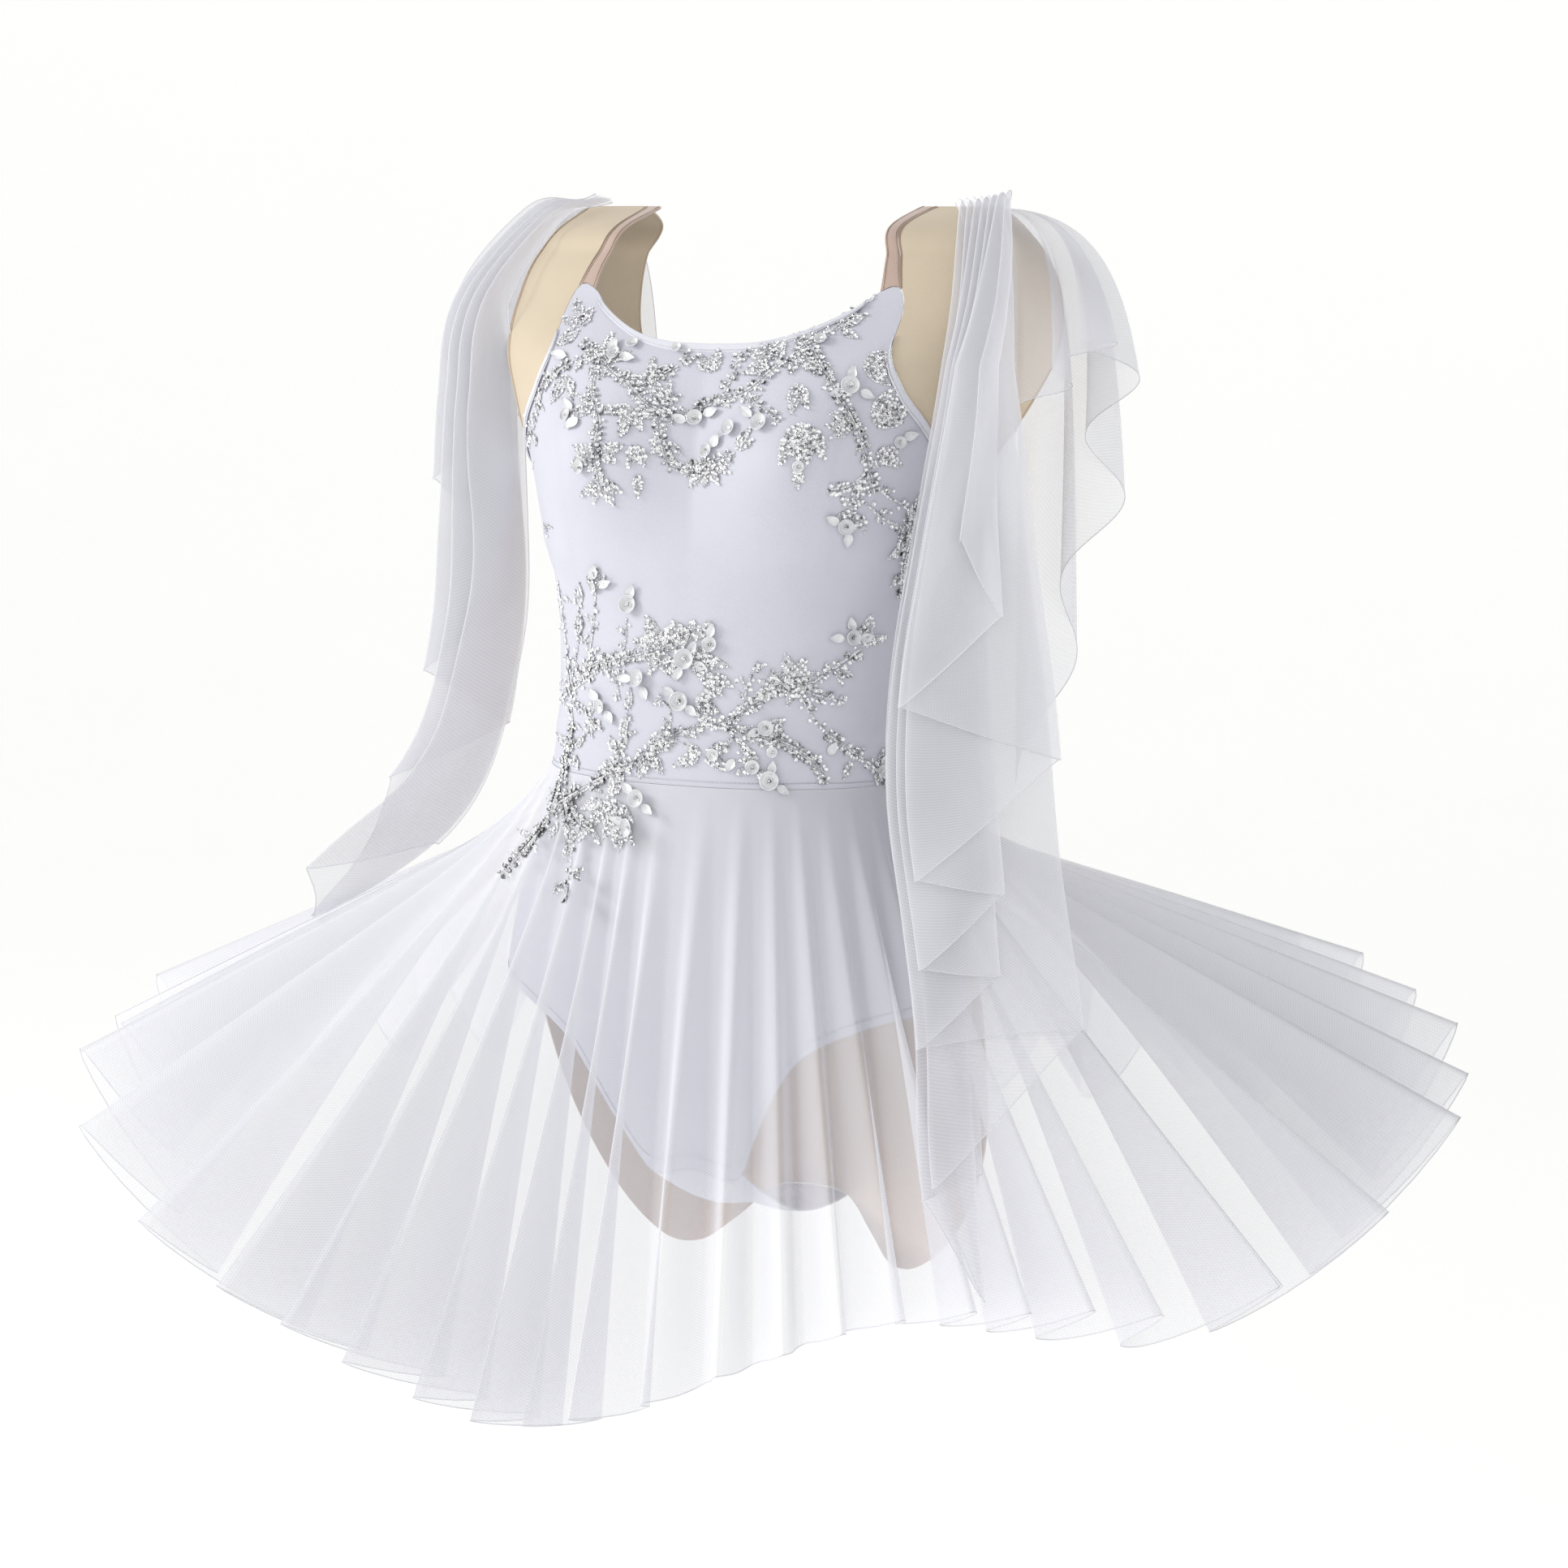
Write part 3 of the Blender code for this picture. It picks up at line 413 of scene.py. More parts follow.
def tube(name, lines, radius, sides=5):
    """Thin cords along lines of points, as one mesh."""
    vertices, faces = [], []
    for line in lines:
        line = np.asarray(line, float)
        tangents = unit(np.gradient(line, axis=0))
        side = unit(np.cross(tangents, [0.13, 0.21, 0.97]))
        other = np.cross(tangents, side)
        angles = np.arange(sides) * 2 * math.pi / sides
        c, s = np.cos(angles)[None, :, None], np.sin(angles)[None, :, None]
        ring = side[:, None] * c + other[:, None] * s
        start = sum(len(v) for v in vertices)
        vertices.append((line[:, None] + ring * radius).reshape(-1, 3))
        faces += ring_faces(len(line), sides, start)
        faces.append(tuple(start + k for k in reversed(range(sides))))
        faces.append(tuple(start + (len(line) - 1) * sides + k for k in range(sides)))
    return make_mesh(name, np.concatenate(vertices), faces)


STITCH_SPACING = 0.0030
STITCH_LENGTH = 0.0022
STITCH_RADIUS = 0.00022
# Place along the stitch, lift and thickness of its four rings
STITCH_RINGS = ((-0.5, -0.3, 0.5), (-0.2, 0.7, 1.0), (0.2, 0.7, 1.0), (0.5, -0.3, 0.5))
STITCH_CORNERS = ((1, 0), (0, 1), (-1, 0), (0, -1))


def resample(line, spacing):
    line = np.asarray(line, float)
    lengths = lengths_along(line)
    at = np.arange(spacing / 2, lengths[-1], spacing)
    return np.stack([np.interp(at, lengths, line[:, k]) for k in range(line.shape[1])], axis=1)


def stitches(name, rows):
    """Rows of machine stitches, each a short raised thread. A row is a line of points with its normals."""
    vertices, faces = [], []
    for line, normals in rows:
        both = resample(np.concatenate([line, normals], axis=1), STITCH_SPACING)
        points, ups = both[:, :3], unit(both[:, 3:])
        ways = unit(np.gradient(points, axis=0))
        sides = np.cross(ways, ups)
        for point, way, side, up in zip(points, ways, sides, ups):
            faces += ring_faces(len(STITCH_RINGS), len(STITCH_CORNERS), len(vertices))
            for along, lift, thick in STITCH_RINGS:
                centre = point + way * along * STITCH_LENGTH + up * lift * STITCH_RADIUS
                for a, b in STITCH_CORNERS:
                    vertices.append(centre + (side * a + up * b) * STITCH_RADIUS * thick)
    return make_mesh(name, vertices, faces)


# Materials
COURSE_SHARE = 0.8
MOTTLE_SIZE = 0.035
FUZZ_SCALE = 900.0
PLY_PERIOD = 0.0006
NET_HOLE = 0.0013
NET_COVER = 0.43
NET_GRAZING_COVER = 0.76


class Nodes:
    """A material's nodes, added one by one."""

    def __init__(self, name):
        self.material = bpy.data.materials.new(name)
        self.material.use_nodes = True
        self.tree = self.material.node_tree
        self.shader = self.tree.nodes["Principled BSDF"]

    def add(self, kind, inputs=(), **settings):
        node = self.tree.nodes.new(kind)
        for key, value in settings.items():
            setattr(node, key, value)
        for key, value in dict(inputs).items():
            if isinstance(value, bpy.types.NodeSocket):
                self.tree.links.new(value, node.inputs[key])
            else:
                node.inputs[key].default_value = value
        return node

    def link(self, source, socket):
        self.tree.links.new(source, self.shader.inputs[socket])

    def set(self, **values):
        for key, value in values.items():
            self.shader.inputs[key.replace("_", " ")].default_value = value

    def ramp(self, factor, stops):
        node = self.add("ShaderNodeValToRGB", {"Fac": factor})
        first, last = node.color_ramp.elements
        first.position, first.color = stops[0][0], (*stops[0][1], 1)
        last.position, last.color = stops[-1][0], (*stops[-1][1], 1)
        for position, colour in stops[1:-1]:
            node.color_ramp.elements.new(position).color = (*colour, 1)
        return node.outputs["Color"]

    def maths(self, operation, first, second=0.0, third=0.0):
        inputs = {0: first, 1: second, 2: third}
        return self.add("ShaderNodeMath", inputs, operation=operation).outputs[0]

    def cloth(self):
        return self.add("ShaderNodeUVMap", uv_map="cloth").outputs["UV"]

    def place(self):
        return self.add("ShaderNodeTexCoord").outputs["Object"]

    def wave(self, where, period, way, **more):
        """Bands of this period in metres."""
        inputs = {"Vector": where, "Scale": math.pi / (10 * period), **more}
        return self.add("ShaderNodeTexWave", inputs, bands_direction=way).outputs["Fac"]

    def noise(self, where, scale, detail):
        inputs = {"Vector": where, "Scale": scale, "Detail": detail}
        return self.add("ShaderNodeTexNoise", inputs).outputs["Fac"]

    def bump(self, height, strength, distance, **more):
        inputs = {"Strength": strength, "Distance": distance, "Height": height, **more}
        return self.add("ShaderNodeBump", inputs).outputs["Normal"]


def knit(name, light, dark, wale=0.0009, rough=0.62, sheen=0.25):
    """Fine stretch knit: wales and courses, a soft sheen, and a slow change of tone."""
    n = Nodes(name)
    uv, place = n.cloth(), n.place()
    courses = n.wave(uv, wale * COURSE_SHARE, "Y", **{"Distortion": 0.6, "Detail Scale": 3.0})
    weave = n.maths("MULTIPLY", n.wave(uv, wale, "X"), courses)
    slow = n.noise(place, 1 / MOTTLE_SIZE, 4.0)
    fuzz = n.noise(place, FUZZ_SCALE, 2.0)
    mixed = n.maths("ADD", n.maths("MULTIPLY", weave, 0.22), n.maths("MULTIPLY", slow, 0.8))
    n.link(n.ramp(mixed, [(0.25, dark), (0.72, light)]), "Base Color")
    n.link(n.bump(fuzz, 0.10, 0.0006, Normal=n.bump(weave, 0.22, 0.0004)), "Normal")
    n.link(n.maths("MULTIPLY_ADD", slow, 0.16, rough - 0.08), "Roughness")
    n.set(Sheen_Weight=sheen, Sheen_Roughness=0.45, Specular_IOR_Level=0.35)
    return n.material


def sheer(name, light, dark):
    """Sheer mesh: a fine net of round holes that closes up where it is seen edge on."""
    n = Nodes(name)
    turn = {"Vector": n.cloth(), "Rotation": (0.0, 0.0, math.radians(45))}
    turned = n.add("ShaderNodeMapping", turn).outputs["Vector"]
    net = n.maths("MAXIMUM", n.wave(turned, NET_HOLE, "X"), n.wave(turned, NET_HOLE, "Y"))
    n.link(n.ramp(net, [(0.5, dark), (0.9, light)]), "Base Color")
    facing = n.add("ShaderNodeLayerWeight", {"Blend": 0.42}).outputs["Facing"]
    edge = n.maths("MULTIPLY", n.maths("POWER", facing, 1.6), NET_GRAZING_COVER - NET_COVER)
    grain = n.maths("MULTIPLY", n.maths("SUBTRACT", net, 0.7), 0.11)
    alpha = n.maths("ADD", n.maths("ADD", edge, grain), NET_COVER)
    alpha.node.use_clamp = True
    n.link(alpha, "Alpha")
    n.set(Roughness=0.7, Specular_IOR_Level=0.0)
    return n.material


def thread(name, colour, rough=0.45):
    """Spun thread: fine plies wound round it."""
    n = Nodes(name)
    ply = n.wave(n.place(), PLY_PERIOD, "DIAGONAL")
    n.link(n.ramp(ply, [(0.2, tuple(c * 0.86 for c in colour)), (0.8, colour)]), "Base Color")
    n.link(n.bump(ply, 0.2, 0.0002), "Normal")
    n.set(Roughness=rough, Sheen_Weight=0.2)
    return n.material


def beads(name, stops, rough=0.20, metallic=0.82, cell=0.0017):
    """Silvery beads and sequins, each with a tone of its own."""
    n = Nodes(name)
    place = n.place()
    cells = {"Vector": place, "Scale": 1 / cell, "Randomness": 1.0}
    own = n.add("ShaderNodeTexVoronoi", cells).outputs["Color"]
    n.link(n.ramp(n.add("ShaderNodeSeparateColor", {"Color": own}).outputs[0], stops), "Base Color")
    fine = n.noise(place, 1500.0, 1.0)
    n.link(n.bump(fine, 0.12, 0.0002), "Normal")
    n.link(n.ramp(fine, [(0.3, (rough,) * 3), (0.7, (rough + 0.15,) * 3)]), "Roughness")
    n.set(Metallic=metallic, Coat_Weight=0.4, Coat_Roughness=0.08)
    return n.material


def plain_stage(name, colour, glow):
    n = Nodes(name)
    grain = n.noise(n.place(), 3.0, 2.0)
    n.link(n.ramp(grain, [(0.3, tuple(c * 0.995 for c in colour)), (0.7, colour)]), "Base Color")
    n.set(Roughness=0.9, Specular_IOR_Level=0.1, Emission_Color=(*colour, 1), Emission_Strength=glow)
    n.material.cycles.emission_sampling = "NONE"
    return n.material


WHITE_KNIT = knit("white_knit_cloth", (0.70, 0.70, 0.785), (0.66, 0.66, 0.75))
NUDE_KNIT = knit("nude_knit_cloth", (0.745, 0.635, 0.485), (0.70, 0.59, 0.44), rough=0.66, sheen=0.15)
SEAT_KNIT = knit("seat_knit_cloth", (0.735, 0.605, 0.515), (0.69, 0.56, 0.47), rough=0.66, sheen=0.15)
STRAP_KNIT = knit("strap_elastic_cloth", (0.62, 0.47, 0.40), (0.55, 0.41, 0.345), wale=0.0012, sheen=0.4)
BAND_KNIT = knit("binding_cloth", (0.83, 0.83, 0.90), (0.78, 0.78, 0.86), wale=0.0011)
SHEER_MESH = sheer("sheer_mesh_cloth", (0.92, 0.92, 0.97), (0.89, 0.89, 0.95))
HEM_THREAD = thread("hem_thread", (0.90, 0.90, 0.95))
WHITE_THREAD = thread("white_thread", (0.86, 0.86, 0.92))
NUDE_THREAD = thread("nude_thread", (0.66, 0.52, 0.38))
SILVER_TONES = [
    (0.0, (0.20, 0.20, 0.22)),
    (0.16, (0.62, 0.62, 0.66)),
    (0.42, (0.93, 0.93, 0.95)),
    (1.0, (1.0, 1.0, 1.0)),
]
PEARL_TONES = [(0.0, (0.80, 0.80, 0.84)), (0.5, (0.90, 0.90, 0.93)), (1.0, (0.97, 0.97, 0.98))]
SILVER = beads("silver_beads", SILVER_TONES)
PEARL = beads("pearl_cups", PEARL_TONES, 0.12, 0.0, 0.006)
LACE = thread("lace_ground", (0.84, 0.84, 0.90), 0.5)


def finish_piece(obj, material, nodes=()):
    obj.data.materials.clear()
    obj.data.materials.append(material)
    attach(obj, "root")
    if nodes:
        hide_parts(*nodes)
    if material.name.startswith("sheer"):
        # Light goes on through sheer cloth, and shadow rays through all its layers would be slow
        obj.visible_shadow = False
    return obj


# The close-fitting cloth
LINER_EDGE = (-0.236, -0.20, 0.0011)
# Side, height at the side, and reach of each soft crease
CREASES = ((1, -0.205, 0.05), (-1, -0.215, 0.045), (1, -0.322, 0.06), (-1, -0.330, 0.05))
CREASE_DEPTH = 0.0009
CREASE_WIDTH = 0.006


def front_relief(points, normals):
    """Faint pulls of the stretched knit: the edge of the liner inside, and soft creases from the sides."""
    x, z = points[..., 0], points[..., 2]
    base, slope, depth = LINER_EDGE
    liner = base + slope * np.clip(x + 0.045, -0.05, 0.13)
    height = depth / (1 + np.exp(-(z - liner) / 0.0013)) * np.exp(-(((z - liner - 0.012) / 0.05) ** 2))
    for side, base, reach in CREASES:
        away = np.clip(side * x - 0.03, 0, 1)
        line = base + 0.22 * (side * x - 0.10)
        height += CREASE_DEPTH * np.exp(-(((z - line) / CREASE_WIDTH) ** 2)) * np.clip(away / reach, 0, 1)
    return points + normals * height[..., None]


def fitted(node, top, angles, bottom_z, seam_shift, size, material, relief=None):
    columns, rows = size
    shares, heights = np.linspace(-1, 1, columns), np.linspace(0, 1, rows)
    points, normals = panel_grid(top, angles, bottom_z, shares, heights, seam_shift)
    if relief is not None:
        points = relief(points, normals)
    obj = thick_mesh(f"{node}_cloth", points + normals * INNER_LIFT, points + normals * WALL)
    finish_piece(obj, material, [node])
    return obj, points + normals * WALL, normals


FRONT_ANGLES, BACK_ANGLES = (-90.0, SIDE_ANGLE), (90.0, SIDE_ANGLE)
bodice, bodice_grid, bodice_normals = fitted(
    "bodice_front", FRONT_AT, FRONT_ANGLES, BODICE_EDGE, -SEAM_TURN, (141, 81), WHITE_KNIT,
    front_relief,
)
brief, brief_grid, brief_normals = fitted(
    "brief_front", BRIEF_AT, FRONT_ANGLES, BRIEF_EDGE, -SEAM_TURN, (101, 51), WHITE_KNIT
)
seat, seat_grid, seat_normals = fitted(
    "brief_seat", SEAT_AT, BACK_ANGLES, BRIEF_EDGE, SEAM_TURN, (121, 61), SEAT_KNIT
)


def make_back(step=0.0075, edge_step=0.004):
    """The back panel from its flat pattern, as in its solid, with finer steps."""
    levels = np.linspace(BODICE_EDGE, CROWN_Z, 60)
    profile = figure_point(np.full(60, BACK_PROFILE_ANGLE), levels)
    heights = lengths_along(profile)

    def flat(angle, z):
        return np.stack([(90.0 - angle) * BACK_METRES_PER_DEGREE, np.interp(z, levels, heights)], axis=-1)

    def even(line, spacing):
        lengths = lengths_along(line)
        at = np.linspace(0, lengths[-1], max(1, round(lengths[-1] / spacing)) + 1)
        return np.column_stack([np.interp(at, lengths, line[:, 0]), np.interp(at, lengths, line[:, 1])])

    edges = []
    for start, end in zip(BACK_CORNERS, BACK_CORNERS[1:]):
        cuts = BACK_AT(np.linspace(start, end, 60))
        edges.append(even(flat(cuts[:, 1], cuts[:, 2]), edge_step))
    top = np.concatenate([edge[:-1] for edge in edges] + [edges[-1][-1:]])
    side_angle = SIDE_ANGLE + SEAM_TURN
    side = flat(np.full(30, side_angle), np.linspace(UNDERARM_Z, BODICE_EDGE, 31)[1:])
    bottom = even(np.array([side[-1], [0.0, 0.0]]), step)[1:-1]
    half = np.concatenate([top, side, bottom])
    outline = np.concatenate([half, [[0.0, 0.0]], half[1:][::-1] * [-1, 1]])[::-1]
    ends = np.roll(outline, -1, axis=0)
    way = ends - outline

    def is_inside(point, margin):
        share = np.clip(((point - outline) * way).sum(axis=1) / (way**2).sum(axis=1), 0, 1)
        if np.linalg.norm(outline + way * share[:, None] - point, axis=1).min() < margin:
            return False
        straddles = (outline[:, 1] > point[1]) != (ends[:, 1] > point[1])
        rise = np.where(straddles, way[:, 1], 1.0)
        crossing = outline[:, 0] + (point[1] - outline[:, 1]) / rise * way[:, 0]
        return int((straddles & (crossing > point[0])).sum()) % 2 == 1

    inside = []
    row_step = step * math.sqrt(3) / 2
    for row in range(1, int(heights[-1] / row_step) + 1):
        for column in range(-34, 35):
            point = np.array([(column + (row % 2) / 2) * step, row * row_step])
            if is_inside(point, step / 2):
                inside.append(point)
    pattern = np.concatenate([outline, inside])
    rim = list(range(len(outline)))
    triangles = delaunay_2d_cdt([tuple(p) for p in pattern], [], [rim], 1, 1e-7)[2]
    z = np.interp(pattern[:, 1], heights, levels)
    angle = 90.0 - np.abs(pattern[:, 0]) / BACK_METRES_PER_DEGREE
    points, normals = mirrored(angle, z, pattern[:, 0])
    count = len(points)
    faces = [tuple(t) for t in triangles] + [tuple(count + c for c in reversed(t)) for t in triangles]
    for first, second in zip(rim, rim[1:] + rim[:1]):
        faces.append((second, first, count + first, count + second))
    vertices = np.concatenate([points + normals * INNER_LIFT, points + normals * WALL])
    obj = make_mesh("bodice_back_cloth", vertices, faces, np.concatenate([pattern, pattern]))
    obj.data.set_sharp_from_angle(angle=SHARP_ANGLE)
    finish_piece(obj, NUDE_KNIT, ["bodice_back"])
    edge = [index for index in rim if pattern[index, 1] > 0 and abs(angle[index] - side_angle) > 0.01]
    return obj, points + normals * WALL, normals, edge


back, back_points, back_normals, back_edge = make_back()


def make_gusset():
    ends = []
    front_end = (BRIEF_AT, FRONT_ANGLES, GUSSET_FRONT_SHARE)
    back_end = (SEAT_AT, BACK_ANGLES, GUSSET_BACK_SHARE)
    for top, angles, share in (front_end, back_end):
        points, normals = panel_grid(top, angles, BRIEF_EDGE, np.linspace(-share, share, 17), [1.0])
        ends.append(points[0] + normals[0] * WALL / 2)
    t = np.linspace(0, 1, 33)[:, None, None]
    grid = ends[0][None] + (ends[1] - ends[0])[None] * t
    grid[..., 2] -= SEAM_GAP + GUSSET_SAG * np.sin(math.pi * t[..., 0])
    obj = thick_mesh("gusset_cloth", grid, grid + np.array([0, 0, -WALL]))
    return finish_piece(obj, WHITE_KNIT, ["gusset"])


gusset = make_gusset()


def band_piece(node, first, last):
    """A rounded elastic binding along the front's cut edge between two shares."""
    shares = np.linspace(first, last, 121)
    points, normals = panel_grid(FRONT_AT, FRONT_ANGLES, BODICE_EDGE, shares, [8 / 9, 1.0], -SEAM_TURN)
    below, edge = points + normals * WALL
    down = unit(below - edge)
    up = normals[1]
    profile = []
    for k in range(12):
        turn = 2 * math.pi * k / 12
        c, s = math.cos(turn), math.sin(turn)
        across = 0.5 + 0.5 * math.copysign(abs(c) ** 0.5, c)
        lift = BAND_LIFT + BAND_THICK * (0.5 + 0.5 * math.copysign(abs(s) ** 0.7, s))
        profile.append(edge + down * BAND_WIDTH * across + up * lift)
    grid = np.stack(profile + profile[:1], axis=0)
    obj = sheet_mesh(f"{node}_band", grid)
    caps = bmesh.new()
    caps.from_mesh(obj.data)
    bmesh.ops.remove_doubles(caps, verts=caps.verts, dist=1e-6)
    bmesh.ops.holes_fill(caps, edges=caps.edges, sides=0)
    bmesh.ops.recalc_face_normals(caps, faces=caps.faces)
    caps.to_mesh(obj.data)
    caps.free()
    finish_piece(obj, BAND_KNIT, [node])
    return edge + down * BAND_WIDTH * BAND_STITCH_SHARE + up * (BAND_LIFT + BAND_THICK), up


NECK_END, ARMHOLE_START, ARMHOLE_END = 0.37, 0.50, 0.95
band_lines = [
    band_piece("neck_binding", -NECK_END, NECK_END),
    band_piece("armhole_binding_left", ARMHOLE_START, ARMHOLE_END),
    band_piece("armhole_binding_right", -ARMHOLE_END, -ARMHOLE_START),
]


def shoulder_grid(columns, shares, rows, turn):
    first, last = columns
    share, t = np.meshgrid(shares, np.linspace(0, 1, rows))
    cut = FRONT_AT(share)
    across = (share - first[0]) / (last[0] - first[0])
    middle = first[1] + (last[1] - first[1]) * across
    crown = first[2] + (last[2] - first[2]) * across
    low = cut[..., 2] + SEAM_GAP
    angle = cut[..., 1] * (1 - t) * (1 - 2 * t) + middle * 4 * t * (1 - t) + crown * t * (2 * t - 1)
    z = low + (CROWN_Z - low) * (1 - (1 - t) ** YOKE_RISE_POWER)
    return figure_point(angle + turn, z), figure_normal(angle + turn, z)


shoulder_lines = []
for side, sign in (("left", 1), ("right", -1)):
    mirror = np.array([sign, 1, 1])
    points, normals = shoulder_grid(STRAP_COLUMNS, np.linspace(0.400, 0.450, 9), 41, -SEAM_TURN)
    crown = np.cos(np.linspace(-1, 1, 9) * STRAP_CROWN_ANGLE)[None, :, None] * STRAP_CROWN
    outer = (points + normals * (WALL + crown)) * mirror
    strap = thick_mesh(f"strap_{side}_elastic", points * mirror, outer)
    finish_piece(strap, STRAP_KNIT, [f"strap_{side}"])
    raised = points + normals * (WALL + STRAP_STITCH_LIFT)
    for column in (1, 7):
        shoulder_lines.append((raised[:, column] * mirror, normals[:, column] * mirror))
    points, normals = shoulder_grid(YOKE_COLUMNS, np.linspace(0.450, 0.800, 49), 41, SEAM_TURN)
    inner, outer = (points + normals * INNER_LIFT) * mirror, (points + normals * WALL) * mirror
    yoke = thick_mesh(f"yoke_{side}_cloth", inner, outer)
    finish_piece(yoke, NUDE_KNIT, [f"yoke_{side}"])
    shoulder_lines.append((outer[:, -3], normals[:, -3] * mirror))


def panel_edges():
    """Thin elastics along the nude panels' open edges, in a tone a little darker as painted shade, and dark
    cords of painted shade where strap and yoke meet.
    """
    seams, edges = [], []
    for sign in (1, -1):
        mirror = np.array([sign, 1, 1])
        points, normals = shoulder_grid(YOKE_COLUMNS, np.linspace(0.450, 0.800, 9), 41, SEAM_TURN)
        middle = points + normals * WALL * 0.7
        # Half the gap that shows between strap and yoke
        inward = unit(points[:, 0] - points[:, 1]) * 0.0005
        seams.append((middle[:, 0] + inward) * mirror)
        edges.append(middle[:, -1] * mirror)
    half = len(back_edge) // 2
    for run in (back_edge[:half], back_edge[-half:]):
        edges.append((back_points - back_normals * WALL * 0.4)[run])
    return seams, edges


PAINTED_SEAM_SHADE_RADIUS = 0.00075
NUDE_EDGE_RADIUS = 0.0009
shoulder_shade_lines, nude_edges = panel_edges()
# Dark brown cords in the seam between strap and yoke: painted shade, a dark line put where only shade
# falls, not an elastic
PAINTED_SEAM_SHADE = thread("painted_seam_shade", (0.40, 0.27, 0.19), 0.6)
# Thin edges along the nude panels: a real edge binding, with a darker tone than the panels that is painted
# shade along the edge
NUDE_EDGE_AND_SHADE = thread("nude_edge_and_shade", (0.66, 0.53, 0.39), 0.6)
finish_piece(tube("shoulder_seam_elastic", shoulder_shade_lines, PAINTED_SEAM_SHADE_RADIUS, 6), PAINTED_SEAM_SHADE)
finish_piece(tube("nude_edge_elastic", nude_edges, NUDE_EDGE_RADIUS, 6), NUDE_EDGE_AND_SHADE)


# The skirt
def skirt_grid(turns, t):
    turns, t = np.meshgrid(turns, t)
    lap = 2 * math.pi * turns / SKIRT_FOLDS
    uneven = sum(size * np.sin(times * lap) for times, size in UNEVEN_WIDTHS)
    angle = 360.0 / SKIRT_FOLDS * (turns + uneven)
    flare = SKIRT_AT(angle)
    fold = flare[..., 3] * (1.0 + 0.22 * np.sin(2.1 * turns) * np.cos(0.9 * turns + 1.0))
    phase = 2 * math.pi * turns
    wave = np.cos(phase) + FOLD_ROUNDING * np.cos(2 * phase) - FOLD_ROUNDING
    slope = np.radians(flare[..., 1] - fold * wave * t**FOLD_OPENING_POWER)
    root = figure_point(angle, WAIST_SEAM_Z) + figure_normal(angle, WAIST_SEAM_Z) * (WALL + SEAM_GAP)
    out = heading(angle) * np.cos(slope)[..., None]
    out[..., 2] -= np.sin(slope)
    points = root + out * (flare[..., 2] * t)[..., None]
    points[..., 2] -= SKIRT_DIP * np.cos(slope) ** 2 * t / SKIRT_DIP_AT * np.exp(1 - t / SKIRT_DIP_AT)
    return points


def smooth_normals(points):
    return unit(np.cross(np.gradient(points, axis=1), np.gradient(points, axis=0)))


SKIRT_ROWS = np.linspace(0, 1, 40) ** 1.35
SKIRT_COLUMNS = 401
HEM_RADIUS = 0.00035
SIDE_SEAM_RADIUS = 0.0004
half = SKIRT_FOLDS / 2
skirt_grids = {}
for name, first in (("skirt_front", -half), ("skirt_back", 0.0)):
    turns = np.linspace(first + SIDE_SEAM, first + half - SIDE_SEAM, SKIRT_COLUMNS)
    grid = skirt_grid(turns, SKIRT_ROWS)
    grid = grid - smooth_normals(grid) * SHEER_WALL / 2
    skirt_grids[name] = grid
    finish_piece(sheet_mesh(f"{name}_mesh", grid), SHEER_MESH, [name])
hems = [grid[-1] for grid in skirt_grids.values()]
finish_piece(tube("skirt_hem_edge", hems, HEM_RADIUS), HEM_THREAD)
side_seams = [grid[:, k] for grid in skirt_grids.values() for k in (0, -1)]
finish_piece(tube("skirt_side_seams", side_seams, SIDE_SEAM_RADIUS), HEM_THREAD)


# The drapes
def hang_path(hang, samples=240):
    rows = curve([(k, *row) for k, row in enumerate(hang)])(np.linspace(0, len(hang) - 1, samples))
    points = rows[:, 1:4]
    lengths = lengths_along(points)
    return lengths, points, rows[:, 4], np.gradient(points, lengths, axis=0)


def lookup(lengths, values, at):
    if values.ndim == 1:
        return np.interp(at, lengths, values)
    return np.stack([np.interp(at, lengths, values[:, k]) for k in range(values.shape[1])], axis=-1)


def corner_cut(points, axis):
    """Rounds the corners along one axis, and keeps the ends."""
    first, last = points.take([0], axis=axis), points.take([-1], axis=axis)
    count = points.shape[axis]
    low, high = points.take(range(count - 1), axis=axis), points.take(range(1, count), axis=axis)
    near, far = 0.75 * low + 0.25 * high, 0.25 * low + 0.75 * high
    both = np.stack([near, far], axis=axis + 1)
    shape = list(points.shape)
    shape[axis] = 2 * (count - 1)
    return np.concatenate([first, both.reshape(shape), last], axis=axis)


